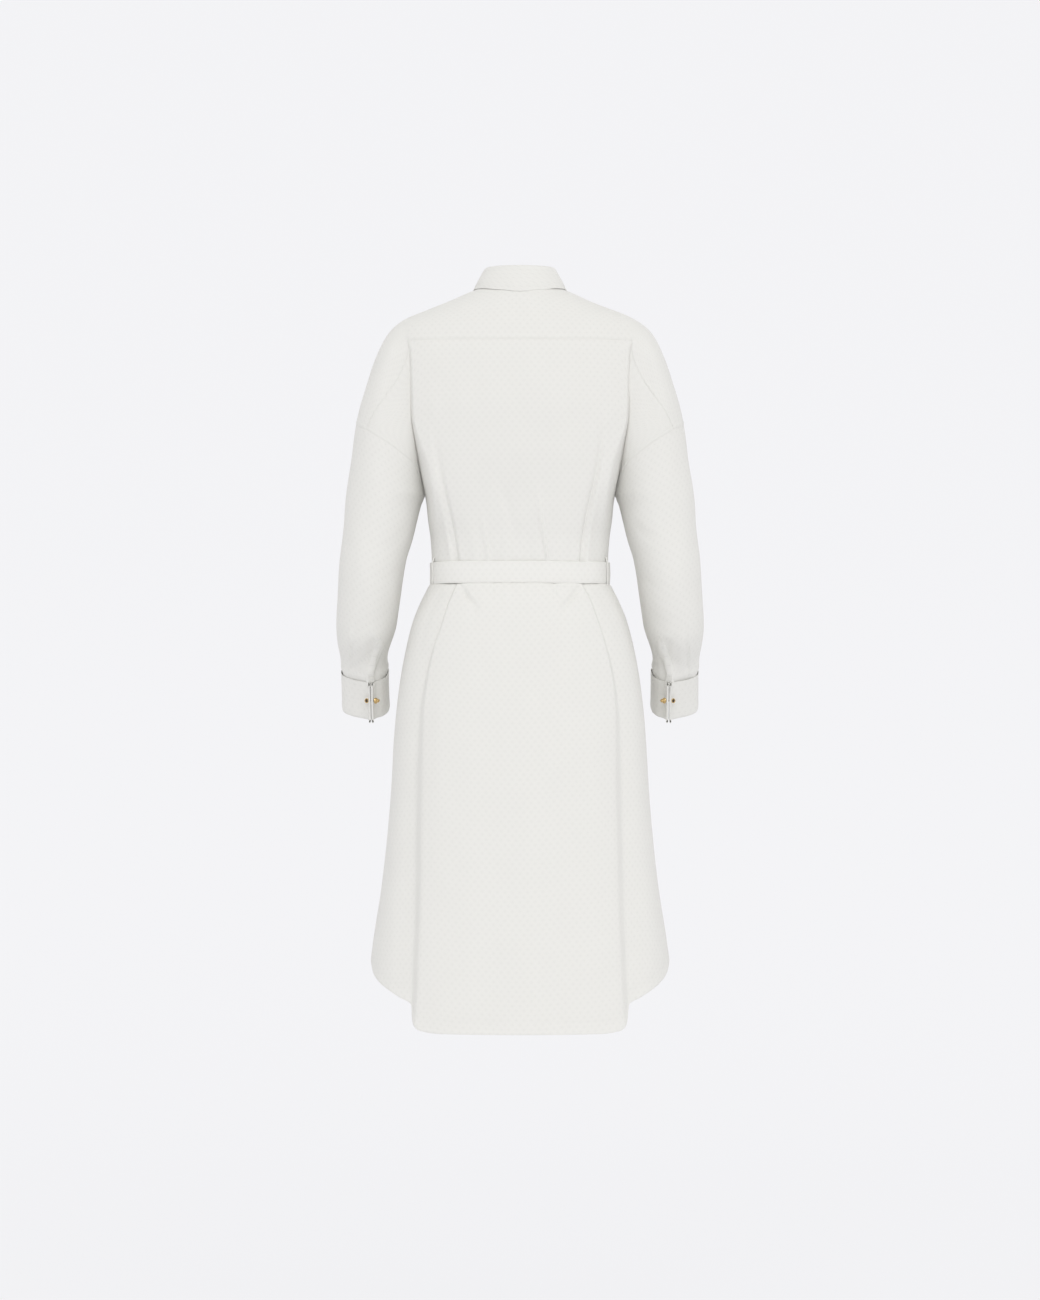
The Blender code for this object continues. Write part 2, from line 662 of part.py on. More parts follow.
def split_edges(side, s, z, edges, last_from):
    """A torso block's points. Its last column is a seam only below the underarm, and joins the arm part above it."""
    outer, inner = grid(side, s, z, edges)
    seam_outer, seam_inner = grid(side, s, z, edges + ("end",))
    below = z[:, -1] <= last_from
    outer[below, -1], inner[below, -1] = seam_outer[below, -1], seam_inner[below, -1]
    arm_z = z[:, -1]
    joined = np.where(arm_z >= last_from)[0]
    corner = joined[-1]
    outer[corner, -1], inner[corner, -1] = underarm_corner(side, s[corner, -1])
    return outer, inner


def underarm_corner(side, s):
    """The panel's own point at the underarm, drawn up and off the three seams that meet there."""
    s_row, z_row = np.array([[s]]), np.array([[UNDERARM]])
    point = surface(side, s_row, z_row)[0, 0]
    out = normals(side, np.array([[s]]), np.array([[UNDERARM - 2.0]]))[0, 0]
    point = point + np.array([0.0, SEAM / 2 if s < 1 else -SEAM / 2, 0.0])
    return point, point - out * WALL


def front_panel(name, side):
    cloth = Cloth()
    s, z = torso_grid(side, True, FRONT_START, front_top)
    cloth.add(*split_edges(side, s, z, ("top", "bottom", "start"), last_from=UNDERARM))
    columns = [2 - s for s in ARM_COLUMNS if s < 2 - SHOULDER_SEAM + 0.001]
    s, z = arm_grid(columns, front_top, SLEEVE_LINE)
    cloth.add(*join_corner(side, s, grid(side, s, z, ("top", "bottom", "end"))))
    cloth.build(name, cotton())


def back_yoke():
    cloth = Cloth()
    for side in (LEFT, RIGHT):
        back = torso_grid(side, False, 0.0, YOKE_LINE)[0][0, :-1]
        s = np.concatenate([back, ARM_COLUMNS, [1.06, SHOULDER_SEAM]])
        top = np.where(s > 1, front_top(np.maximum(s, 1.0001)), 0.0)
        bottom = np.where(s < YOKE_CORNER - 0.001, YOKE_LINE(s), SLEEVE_LINE(s))
        z = np.array([mix(top, bottom, share) for share in UPPER_SHARES])
        cloth.add(*grid(side, np.broadcast_to(s, z.shape), z, ("top", "bottom", "end")))
    cloth.build("back_yoke", cotton())


def placket_grid(lift, wall, below):
    """Outer and inner points of a button band, on both sides of the centre front, from a little below the neck."""
    xs = np.array([PLACKET_WIDTH / 2, PLACKET_WIDTH / 4, 0.0])
    blocks = []
    for side in (LEFT, RIGHT):
        heights = torso_grid(side, True, FRONT_START, front_top)[1][:, 0]
        heights = np.insert(heights, 1, heights[0] - 6.0)
        s = 2 - VALLEY * np.array([side_share(xs, np.full_like(xs, height)) for height in heights])
        z = np.repeat(heights[:, None], len(xs), axis=1)
        z[0] = front_top(s[0]) - below
        blocks.append(grid(side, s, z, ("top", "bottom"), lift, wall))
    return blocks


def plackets():
    for name, lift, below in (("placket_left", 0.0, 0.5), ("placket_right", WALL + SEAM, 3.0)):
        cloth = Cloth()
        for outer, inner in placket_grid(lift, WALL, below):
            outer[:, -1, 0] = inner[:, -1, 0] = 0.0
            cloth.add(outer, inner)
        cloth.build(name, cotton())


# ---------------------------------------------------------------- sleeves and cuffs


SLEEVE_ROWS = (-330.0, -372.0, -415.0, -452.0)
STRIP_ROWS = (-482.0, -506.0, -526.0, -540.0, CUFF_TOP + SEAM)


def sleeve_grid():
    half = np.array(sorted(ARM_COLUMNS + (SLIT - STRIP, SLIT + STRIP)))
    s = np.concatenate([half, [2 - s for s in ARM_COLUMNS[-2::-1]]])
    s[0], s[-1] = VALLEY + 1e-6, 2 - VALLEY - 1e-6
    top = SLEEVE_LINE(s)
    rows = [top, mix(top, SLEEVE_ROWS[0], 0.5)] + [np.full_like(s, height) for height in SLEEVE_ROWS + STRIP_ROWS]
    return s, np.array(rows)


def sleeve(name, side):
    cloth = Cloth()
    s, z = sleeve_grid()
    outer, inner = grid(side, np.broadcast_to(s, z.shape), z, ("top",))
    for edge in (outer, inner):
        lowest = edge[0, [0, -1]]
        edge[0, 0] = edge[0, -1] = lowest.mean(axis=0) - np.array([0, 0, SEAM])
        edge[1:, -1] = edge[1:, 0]
    cloth.add(outer, inner)
    cloth.build(name, cotton())


def cuff_frame(side, share, height, outwards):
    """A point on a cuff: share of its run, height below its top along the forearm, and distance off its middle."""
    small = 1e-3
    x, y = cuff_run(share)
    ax, ay = cuff_run(min(share + small, 1.0))
    bx, by = cuff_run(max(share - small, 0.0))
    length = math.hypot(ax - bx, ay - by)
    x, y = x + (ay - by) / length * -outwards, y + (ax - bx) / length * outwards
    z = CUFF_TOP - height
    middle = (INNER(z) + OUTER(z)) / 2
    centre_y = ARM_Y(CUFF_TOP) + (ARM_Y(z) - ARM_Y(CUFF_TOP))
    slope = float(arm_slant(CUFF_TOP))
    return np.array([side * (middle + x), centre_y + y, z - slope * y])


def cuff(name, side):
    """Two layers of cloth, folded at the lower edge, in one closed run whose ends are pinched together."""
    stations = np.concatenate([
        np.linspace(0, FIN_SHARE, 3), np.linspace(FIN_SHARE, 1 - FIN_SHARE, 26)[1:-1], np.linspace(1 - FIN_SHARE, 1, 3),
    ])
    inside, between, outside = 0.0, CUFF_LAYER, CUFF_LAYER + CUFF_GAP
    full = outside + CUFF_LAYER
    shift = -full / 2
    profile = [  # (distance outwards, height below the top), once round the folded cloth
        (inside, 0.0), (inside, CUFF_HEIGHT - 1.0), (full / 2, CUFF_HEIGHT), (full, CUFF_HEIGHT - 1.0),
        (full, 1.5), (outside, 1.5), (outside, CUFF_HEIGHT - 2.2), (between, CUFF_HEIGHT - 2.2), (between, 0.0),
    ]
    points, faces = [], []
    for share in stations:
        for away, height in profile:
            points.append(cuff_frame(side, share, height + SEAM, away + shift))
    count, last = len(profile), len(stations) - 1
    for i in range(last):
        for j in range(count):
            k = (j + 1) % count
            faces.append((i * count + j, i * count + k, (i + 1) * count + k, (i + 1) * count + j))
    for i in (0, last):
        base = i * count
        faces += [(base, base + 1, base + 7, base + 8), (base + 1, base + 2, base + 3, base + 6, base + 7),
                  (base + 3, base + 4, base + 5, base + 6)]
    made = add_object(name, points, faces, cotton())
    cutter = stud_cutter(name, side)
    hole = made.modifiers.new("stud_hole", "BOOLEAN")
    hole.operation, hole.object = "DIFFERENCE", cutter
    return made


def stud_line(side):
    """Centre of a stud and the unit vector along its post."""
    height = CUFF_HEIGHT * (1 - STUD_HEIGHT)
    z = CUFF_TOP - height
    middle = float((INNER(z) + OUTER(z)) / 2)
    pinch = (CUFF_RUN[1].x + CUFF_RUN[-2].x) / 2
    slope = float(arm_slant(CUFF_TOP))
    centre = np.array([side * (middle + pinch), float(ARM_Y(z)) + STUD_OUT, z - slope * STUD_OUT])
    return centre, np.array([1.0, 0.0, 0.0])


def lathe(name, profile, centre, axis, finish, steps=10):
    """A turned solid. profile holds (radius, distance along the axis), from end to end on the axis."""
    axis = np.asarray(axis, float)
    helper = np.array([0.0, 0.0, 1.0]) if abs(axis[2]) < 0.9 else np.array([1.0, 0.0, 0.0])
    across = np.cross(helper, axis)
    across /= np.linalg.norm(across)
    up = np.cross(axis, across)
    points, faces, rings = [], [], []
    for radius, along in profile:
        if radius == 0:
            rings.append([len(points)])
            points.append(centre + axis * along)
            continue
        rings.append(list(range(len(points), len(points) + steps)))
        for k in range(steps):
            turn = 2 * math.pi * k / steps
            points.append(centre + axis * along + radius * (math.cos(turn) * across + math.sin(turn) * up))
    for a, b in zip(rings, rings[1:]):
        for k in range(steps):
            n = (k + 1) % steps
            corners = [a[k % len(a)], a[n % len(a)], b[n % len(b)], b[k % len(b)]]
            unique = list(dict.fromkeys(corners))
            if len(unique) > 2:
                faces.append(unique)
    return add_object(name, points, faces, finish)


STUD_POST, STUD_HEAD = 1.6, 3.9
FIN_HALF = 5.0  # half the thickness of the two pinched cuff ends


def stud_cutter(name, side):
    centre, axis = stud_line(side)
    radius, reach = STUD_POST + SEAM, 9.0
    cutter = lathe(name + "_hole", [(0, -reach), (radius, -reach), (radius, reach), (0, reach)], centre, axis, cotton())
    cutter.hide_render = True
    cutter.display_type = "WIRE"
    return cutter


def cuff_stud(name, side):
    """A ring-shaped head on the outer side, a domed head on the inner side, and the post between them."""
    centre, axis = stud_line(side)
    a, b = FIN_HALF, -FIN_HALF
    profile = [
        (0, a + 2.6), (STUD_HEAD * 0.6, a + 2.4), (STUD_HEAD * 0.9, a + 1.8), (STUD_HEAD, a + 1.0), (STUD_HEAD, a),
        (STUD_POST, a), (STUD_POST, b), (STUD_HEAD * 1.1, b), (STUD_HEAD * 1.15, b - 2.2),
        (STUD_HEAD * 0.85, b - 4.6), (STUD_HEAD * 0.4, b - 5.8), (0, b - 6.1),
    ]
    lathe(name, profile, centre, axis * side, gold())


def sleeve_placket(name, side):
    """The band over the sleeve's slit, above the pinched ends of the cuff."""
    s = np.array([SLIT - STRIP, SLIT, SLIT + STRIP])
    z = np.broadcast_to(np.array(STRIP_ROWS)[:, None], (len(STRIP_ROWS), len(s)))
    cloth = Cloth()
    cloth.add(*grid(side, np.broadcast_to(s, z.shape), z, (), 1.2 + SEAM, 1.2))
    cloth.build(name, cotton())


# ---------------------------------------------------------------- collar


FALL_END = 0.965  # where the turned-down collar stops, as a share of the neck seam from centre back to centre front
FALL_SHARES = np.linspace(-FALL_END, FALL_END, 33)


def neck_points(count=240):
    """The neck seam on the wearer's left from centre back to centre front."""
    s = np.concatenate([np.linspace(0, 1, count // 2), np.linspace(1.0005, 2, count)])
    z = np.where(s > 1, front_top(np.maximum(s, 1.0001)), 0.0)
    return surface(LEFT, s, z)


def neck_curve():
    points = neck_points()
    lengths = np.concatenate([[0], np.cumsum(np.linalg.norm(np.diff(points, axis=0), axis=1))])
    lengths /= lengths[-1]
    return [Smooth(lengths, points[:, k]) for k in range(3)]


NECK_X, NECK_Y, NECK_Z = (None, None, None)


def neck_at(share):
    """Point of the neck seam. share is 0 at centre back, 1 at centre front and below 0 on the wearer's right."""
    size = abs(share)
    way = math.copysign(1, share) * (1 if size <= 1 else -1)
    size = min(size, 2 - size)
    return np.array([way * float(NECK_X(size)), float(NECK_Y(size)), float(NECK_Z(size))])


def stand_at(share, height, out):
    """Point of the collar stand: height up it from the seam, and distance out from its middle face."""
    foot = neck_at(share)
    centre = np.array([0.0, -7.0, foot[2]])
    away = foot - centre
    away /= np.linalg.norm(away)
    lean = mix(STAND_LEAN, STAND_SIDE_LEAN, away[0] ** 2)
    return foot - away * lean * height / STAND_HEIGHT + away * out + np.array([0, 0, height])


def collar_stand():
    """The stand rings the neck, and its right end laps over its left end at the front."""
    lap = [FALL_END + 0.018, 1.0, 1.035, 1.07]
    shares = np.concatenate([[-share for share in reversed(lap)], FALL_SHARES, lap])
    heights = np.array([0.8, STAND_HEIGHT / 2, STAND_HEIGHT - 2.0])
    outer, inner = [], []
    for height in heights:
        row_out, row_in = [], []
        for share in shares:
            over = (WALL + SEAM) * (0.5 if share < 0 else -0.5) * float(ease(0.86, 0.97, abs(share)))
            row_out.append(stand_at(share, height, over))
            row_in.append(stand_at(share, height, over - WALL))
        outer.append(row_out)
        inner.append(row_in)
    cloth = Cloth()
    cloth.add(np.array(outer), np.array(inner))
    cloth.build("collar_stand", cotton())


def cloth_height(x, y):
    """Height of the dress where it passes under the plan point x, y near the neck."""
    run = np.linspace(0, 1, 81) if y >= 0 else np.linspace(2, 1.0001, 81)
    high, low = 0.0, -190.0
    for _ in range(36):
        middle = (high + low) / 2
        xs, ys = base_section(run, np.full_like(run, middle))
        if x > xs[-1] or abs(float(np.interp(x, xs, np.abs(ys)))) < abs(y):
            high = middle
        else:
            low = middle
    return (high + low) / 2


def fall_row(share, edge_x, edge_y):
    """Outer points down the turned-down collar at one place of the neck, from its roll to its free edge."""
    size = abs(share) / FALL_END
    x = float(edge_x(size)) * math.copysign(1, share)
    y = float(edge_y(size))
    edge = np.array([x, y, cloth_height(abs(x), y) + FALL_OVER])
    top = STAND_HEIGHT + 1.0
    rolled = [stand_at(share, top, -WALL), stand_at(share, top + 0.9, 1.2), stand_at(share, top - 1.2, 4.2)]
    start = rolled[-1]
    bow = stand_at(share, STAND_HEIGHT, 1.0) - stand_at(share, STAND_HEIGHT, 0.0)
    runs = [mix(start, edge, part) + bow * 1.5 * math.sin(math.pi * part) for part in (0.33, 0.67, 1.0)]
    return rolled + runs


def collar_fall():
    edge_x = column(FALL_EDGE, "x", "share")
    edge_y = column(FALL_EDGE, "y", "share")
    outer = np.array([fall_row(share, edge_x, edge_y) for share in FALL_SHARES]).transpose(1, 0, 2)
    along = np.gradient(outer, axis=1)
    down = np.gradient(outer, axis=0)
    out = np.cross(down, along)
    out /= np.linalg.norm(out, axis=-1, keepdims=True)
    middle = outer.mean(axis=(0, 1))
    if ((outer[3] - middle) * out[3]).sum() < 0:
        out = -out
    cloth = Cloth()
    cloth.add(outer, outer - out * WALL)
    cloth.build("collar_fall", cotton())


# ---------------------------------------------------------------- belt


def waist_at(side, s, z, lift):
    point = surface(side, np.array([[s]]), np.array([[z]]))[0, 0]
    out = normals(side, np.array([[s]]), np.array([[z]]))[0, 0]
    out[2] = 0
    out /= np.linalg.norm(out)
    bump = (WALL + SEAM) * float(1 - ease(17.0, 30.0, abs(point[0]))) if s > 1 else 0.0
    return point + out * (lift + bump)


WAIST = (BELT_TOP + BELT_BOTTOM) / 2


def belt_band():
    waist = np.array([WAIST])
    halves = {}
    for side in (LEFT, RIGHT):
        back, front = panel_folds(side, False), panel_folds(side, True)
        half = list(VALLEY * body_columns(*back, 0.0)(waist)[:, 0])
        half += list(2 - VALLEY * body_columns(*front, FRONT_START)(waist)[::-1, 0][1:])
        half += list(2 - VALLEY * side_share(np.array([PLACKET_WIDTH / 4, 0.0]), waist))
        halves[side] = [(side, s) for s in half]
    run = halves[LEFT] + halves[RIGHT][-2:0:-1]
    faces, points = [], []
    for side, s in run:
        for lift in (SEAM + 0.4, SEAM + 0.4 + BELT_WALL):
            ring = waist_at(side, s, WAIST, lift)
            for z in (BELT_TOP, BELT_BOTTOM):
                points.append(np.array([ring[0], ring[1], z]))
    count = len(run)
    for i in range(count):
        a, b = 4 * i, 4 * ((i + 1) % count)
        for j, k in ((0, 1), (1, 3), (3, 2), (2, 0)):
            faces.append((a + j, a + k, b + k, b + j))
    add_object("belt_band", points, faces, cotton())


def belt_loop(name, side):
    """A narrow band over the belt beside the side seam, let into the dress above and below it."""
    s, wide = VALLEY * 0.80, 2.2
    clear = SEAM + 0.4 + BELT_WALL + SEAM
    path = [(BELT_TOP + 6.0, 0.9), (BELT_TOP + 1.6, clear), (WAIST, clear), (BELT_BOTTOM - 1.6, clear),
            (BELT_BOTTOM - 6.0, 4.0)]
    points, faces = [], []
    for height, lift in path:
        for ds in (-wide, wide):
            for more in (0.0, 1.2):
                place = waist_at(side, s + ds / 260.0, WAIST, lift + more)
                points.append(np.array([place[0], place[1], height]))
    for i in range(len(path) - 1):
        a, b = 4 * i, 4 * (i + 1)
        for j, k in ((0, 1), (1, 3), (3, 2), (2, 0)):
            faces.append((a + j, a + k, b + k, b + j))
    last = 4 * (len(path) - 1)
    faces += [(0, 1, 3, 2), (last, last + 1, last + 3, last + 2)]
    add_object(name, points, faces, cotton())


KNOT_SIZE = (17.0, 8.5, 17.0)


def belt_knot():
    """A soft rounded knot over the belt at the centre front."""
    belt_face = waist_at(LEFT, 2.0, WAIST, SEAM + 0.4 + BELT_WALL)
    centre = belt_face + np.array([0, -KNOT_SIZE[1] - SEAM, 0])
    work = bmesh.new()
    bmesh.ops.create_cube(work, size=2.0)
    bmesh.ops.subdivide_edges(work, edges=work.edges[:], cuts=3, use_grid_fill=True)
    points = []
    for vertex in work.verts:
        place = np.array(vertex.co)
        round_place = place / np.linalg.norm(place)
        place = mix(place, round_place, 0.62)
        points.append(centre + place * np.array(KNOT_SIZE) * 0.94)
    work.verts.index_update()
    faces = [[vertex.index for vertex in face.verts] for face in work.faces]
    work.free()
    add_object("belt_knot", points, faces, cotton())


def belt_tail(name, side, length, spread):
    """A free end of the belt, gathered at the knot and hanging on the front of the skirt."""
    rows = np.linspace(0, 1, 11)
    outer, inner = [], []
    for share in rows:
        z = BELT_BOTTOM - 0.5 - SEAM - share * length
        half = mix(7.0, 15.0, float(ease(0.0, 0.28, share)))
        middle = 9.0 + half * 0.9 + spread * share - 7.0
        row_out, row_in = [], []
        for part in (-1.0, 0.0, 1.0):
            x = middle + part * half
            t = float(side_share(max(x, 0.5), z))
            point = surface(side, np.array([[2 - VALLEY * t]]), np.array([[z]]))[0, 0]
            lift = mix(12.0, 7.0, float(ease(0.0, 0.12, share))) + 2.0 * (1 - abs(part)) * share * (1 - share)
            row_out.append(point + np.array([0, -lift - BELT_WALL, 0]))
            row_in.append(point + np.array([0, -lift, 0]))
        outer.append(row_out)
        inner.append(row_in)
    cloth = Cloth()
    cloth.add(np.array(outer), np.array(inner))
    cloth.build(name, cotton())


# ---------------------------------------------------------------- buttons


def button_profile():
    return [
        (0, 0.0), (BUTTON_RADIUS - 0.6, 0.0), (BUTTON_RADIUS, 0.7), (BUTTON_RADIUS, BUTTON_THICK - 0.5),
        (BUTTON_RADIUS - 0.8, BUTTON_THICK), (BUTTON_RADIUS - 1.8, BUTTON_THICK - 0.7), (0, BUTTON_THICK - 0.7),
    ]


def band_line():
    """The middle of the upper button band's face, as points down the centre front."""
    return placket_grid(WALL + SEAM, WALL, 3.0)[0][0][:, -1]


def button_seat(line, z):
    """Centre and outward direction of a button that rests just clear of the band at height z."""
    place = np.array([np.interp(-z, -line[:, 2], line[:, k]) for k in range(3)])
    near = [np.array([np.interp(-(z + dz), -line[:, 2], line[:, k]) for k in range(3)])
            for dz in np.linspace(-BUTTON_RADIUS, BUTTON_RADIUS, 23)]
    run = near[0] - near[-1]
    out = np.array([0.0, run[2], -run[1]]) / np.linalg.norm(run[1:])
    out *= -np.sign(out[1]) if out[1] else 1.0
    highest = max(float((point - place) @ out) for point in near)
    return place + out * (highest + SEAM), out


def buttons():
    line = band_line()
    for k in range(BUTTON_COUNT):
        z = BUTTON_FIRST + BUTTON_PITCH * k
        if BELT_BOTTOM - 60 < z < BELT_TOP + 8:
            z += -24.0 if z < WAIST else 20.0
        lathe(f"button_{k + 1}", button_profile(), *button_seat(line, z), pearl())
    face = stand_at(-1.0, STAND_HEIGHT * 0.42, (WALL + SEAM) * 0.5 + SEAM)
    lean = np.array([0.0, -STAND_HEIGHT, STAND_LEAN])
    lathe("button_collar", button_profile(), face, lean / np.linalg.norm(lean), pearl())


def main():
    global NECK_X, NECK_Y, NECK_Z
    clear_scene()
    NECK_X, NECK_Y, NECK_Z = neck_curve()
    back_panel()
    back_yoke()
    plackets()
    collar_stand()
    collar_fall()
    belt_band()
    belt_knot()
    belt_tail("belt_tail_left", LEFT, TAIL_LENGTH, 22.0)
    belt_tail("belt_tail_right", RIGHT, TAIL_LENGTH - 35.0, 16.0)
    for word, side in SIDES.items():
        front_panel(f"front_{word}", side)
        sleeve(f"sleeve_{word}", side)
        cuff(f"cuff_{word}", side)
        cuff_stud(f"cuff_stud_{word}", side)
        sleeve_placket(f"sleeve_placket_{word}", side)
        belt_loop(f"belt_loop_{word}", side)
    buttons()


main()
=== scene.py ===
"""White cotton shirt dress with a tie belt, in its worn form, seen from behind.

The tables below are in millimetres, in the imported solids' frame: the front faces -Y, the wearer's left is +X,
and the origin is the middle of the neck opening. Each cloth piece is a thin shell on one outer surface, with
creases, seams and stitches laid on it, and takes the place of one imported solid.
"""

import math
from collections import namedtuple

import bmesh
import bpy
import numpy as np
from mathutils import Matrix, Vector


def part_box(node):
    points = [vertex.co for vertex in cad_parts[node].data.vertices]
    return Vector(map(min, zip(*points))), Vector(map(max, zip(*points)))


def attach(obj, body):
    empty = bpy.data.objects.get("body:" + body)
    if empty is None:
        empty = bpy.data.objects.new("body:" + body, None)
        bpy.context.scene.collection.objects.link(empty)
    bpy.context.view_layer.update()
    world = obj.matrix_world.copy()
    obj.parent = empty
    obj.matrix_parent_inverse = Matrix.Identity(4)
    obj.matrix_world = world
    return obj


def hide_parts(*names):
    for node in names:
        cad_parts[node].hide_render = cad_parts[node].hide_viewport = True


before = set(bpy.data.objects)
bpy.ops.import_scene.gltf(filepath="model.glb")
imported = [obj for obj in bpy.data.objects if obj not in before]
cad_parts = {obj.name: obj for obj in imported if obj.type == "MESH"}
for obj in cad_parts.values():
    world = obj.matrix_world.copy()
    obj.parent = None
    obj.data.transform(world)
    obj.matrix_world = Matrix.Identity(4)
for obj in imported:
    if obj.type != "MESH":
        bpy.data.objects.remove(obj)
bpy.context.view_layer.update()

MM = 0.001
CLOTH = 0.7  # thickness of one visible layer of cloth


# ---------------------------------------------------------------- driving sizes


def rows(kind, *values):
    return tuple(kind(*row) for row in values)


UNDERARM = -297.0  # height of the point where sleeve, front and back meet
BELT_TOP, BELT_BOTTOM = -391.0, -422.0
BELT_WALL = 2.0
WALL = 1.5  # thickness of one wall of the solids
SEAM = 0.3
LEFT, RIGHT = 1, -1  # the wearer's sides, as the sign of X
YOKE_SEAM = -79.0
VALLEY = 0.6  # place of the arm crease and the side seam in s
SHOULDER_SEAM = 1.12  # the yoke's front edge in s
YOKE_CORNER = 0.88  # where the yoke seam meets the sleeve seam, in s
CREASE_GAP = 1.0  # open width of the crease beside the arm
BACK_PLANE = 200.0  # half width at which the flat of the back would round away
ROUND = 0.79  # power that squares the torso's sections
OVAL = 2.3  # power of the shoulders' sections
PLACKET_WIDTH = 30.0
CUFF_TOP, CUFF_HEIGHT = -548.0, 54.0

Torso = namedtuple("Torso", "z half_width back front")
TORSO = rows(
    Torso, (0, 54, 48, 24), (-7, 68, 54, 28), (-16, 84, 60, 33), (-30, 112, 66, 40), (-44, 137, 72, 49),
    (-57, 158, 77, 56), (-72, 160, 81, 63), (-94, 156, 87, 80), (-140, 154, 95, 104),
    (-180, 153.5, 98, 117), (-230, 146.5, 97, 123), (-265, 141, 94, 121), (-297, 135, 91, 117),
    (-330, 131.5, 88, 111), (-360, 127.5, 85, 107), (-386, 126, 84.5, 104.5), (-420.6, 126, 84.5, 104.5),
    (-422.4, 128.5, 87.0, 106.8), (-434, 135, 93, 110), (-446, 141, 99, 114), (-474, 152.5, 108, 122),
    (-502, 160, 114, 127), (-559, 171, 123, 134), (-631, 179, 132, 139), (-731, 185, 140, 144),
    (-845, 196.5, 148, 150), (-931, 209.5, 154, 154), (-1050, 222, 162, 160),
)

# Half width at the outer and inner side of shoulder and arm, and the arm's middle and half depth along Y.
Arm = namedtuple("Arm", "z outer inner centre_y half_depth")
ARM = rows(
    Arm, (0, 60, 56, 0, 22), (-7, 76, 70, 0, 26), (-16, 96, 87, 0, 30), (-30, 131, 115, 0, 36),
    (-44, 165, 140, 0, 42), (-59, 184, 156, 0, 46), (-73, 194, 160, 0, 49), (-101, 207, 158, 0, 53),
    (-130, 217, 157, 0, 55), (-187, 233, 155, 0, 58), (-245, 241, 146, 0, 59), (-297, 249, 137.5, 0, 59),
    (-310, 250, 141.5, 0, 58.5), (-330, 251, 146.6, 0, 58), (-359, 254, 153.7, 0, 57),
    (-387, 257.4, 162.3, 0, 56), (-445, 261.7, 171.6, -7, 54), (-473, 263.8, 175.9, -14, 52),
    (-502, 264.2, 180.4, -23, 49), (-530, 260.0, 183.8, -33, 44), (-552, 254.5, 185.5, -42, 38),
    (-640, 254.5, 185.5, -77, 38),
)

# How far out from the middle the bottom of each arm crease lies, back and front.
Crease = namedtuple("Crease", "z back front")
CREASE = rows(
    Crease, (0, 18, 12), (-44, 40, 27), (-72, 50, 39), (-94, 53, 47), (-140, 57, 60), (-180, 56, 64),
    (-205, 52, 61), (-230, 43, 48), (-252, 32, 34), (-270, 21, 22), (-285, 10, 10), (-294, 3.5, 3.5),
    (-297, 0, 0), (-1100, 0, 0),
)

# Height of the back yoke seam and of the slanted sleeve seam along s.
SeamPoint = namedtuple("SeamPoint", "s z")
BACK_YOKE_SEAM = rows(
    SeamPoint, (0, YOKE_SEAM), (0.52, YOKE_SEAM + 1), (0.6, -86), (0.66, -100), (0.76, -140), (0.84, -178),
    (YOKE_CORNER, -204), (1, -230),
)
SLEEVE_SEAM = rows(
    SeamPoint, (VALLEY, UNDERARM), (0.65, -256), (0.71, -242), (0.8, -219), (0.9, -201), (1, -194),
    (1.1, -201), (1.2, -219), (1.29, -247), (1.35, -273), (2 - VALLEY, UNDERARM),
)

# The shirt-tail hem. t runs from the centre line, 0, to the side seam, 1. The back steps up at its fold.
Hem = namedtuple("Hem", "t z")
BACK_HEM = rows(
    Hem, (0, -1047), (0.27, -1047), (0.37, -1044), (0.41, -1038), (0.435, -1030), (0.46, -1009),
    (0.535, -1001), (0.62, -992), (0.735, -981), (0.84, -970), (0.92, -960), (1, -955),
)
FRONT_HEM = rows(
    Hem, (0, -1030), (0.3, -1029), (0.45, -1022), (0.6, -1006), (0.75, -984), (0.88, -965), (1, -955),
)

# Folds of the body, each a line down the cloth: its distance x from the middle and its height at each z. A
# step drops the cloth between the line and the side seam, and a tuck is a small ridge on the line.
FoldPoint = namedtuple("FoldPoint", "z x height")
Fold = namedtuple("Fold", "kind front sides width fade points")
BACK_FOLD_LEFT = Fold(
    "step", False, (LEFT,), 5.0, 38.0,
    rows(
        FoldPoint, (-262, 119, 0), (-295, 112, 0.8), (-345, 101, 1.2), (-381, 91, 1.2), (-400, 89, 0),
        (-416, 87, 0), (-422, 89.3, 2.8), (-447, 100.4, 4.4), (-488, 113.7, 5.6), (-519, 124.9, 6.2),
        (-554, 132.7, 6.6), (-614, 140.5, 7.2), (-724, 144, 8.5), (-850, 145, 9), (-1000, 149, 9),
        (-1050, 153, 9),
    ),
)
BACK_FOLD_RIGHT = Fold(
    "step", False, (RIGHT,), 5.0, 38.0,
    rows(
        FoldPoint, (-262, 114, 0), (-312, 101, 0.8), (-350, 95, 1.2), (-381, 89, 1.2), (-400, 88, 0),
        (-416, 86, 0), (-422, 87.8, 2.8), (-441, 98.1, 4.2), (-470, 109.3, 5.2), (-510, 122.7, 6.2),
        (-548, 131.6, 6.6), (-608, 138.5, 7.2), (-724, 141, 8.5), (-850, 143, 9), (-1000, 148, 9),
        (-1050, 153, 9),
    ),
)
BACK_TUCK_LEFT = Fold(
    "tuck", False, (LEFT,), 4.5, 0.0,
    rows(
        FoldPoint, (-318, 54, 0), (-348, 50.4, 1.1), (-381, 44, 1.8), (-392, 43, 1.4), (-400, 42, 0),
        (-418, 38, 0), (-424, 38.2, 0.6), (-445, 41.8, 0.4), (-456, 44, 0), (-1050, 62, 0),
    ),
)
BACK_TUCK_RIGHT = Fold(
    "tuck", False, (RIGHT,), 4.5, 0.0,
    rows(
        FoldPoint, (-285, 23, 0), (-310, 27, 1.0), (-345, 32.5, 1.6), (-383, 39, 1.8), (-392, 40, 1.4),
        (-400, 42, 0), (-418, 47.5, 0), (-424, 48.2, 0.6), (-445, 55.8, 0.4), (-456, 58, 0), (-1050, 66, 0),
    ),
)
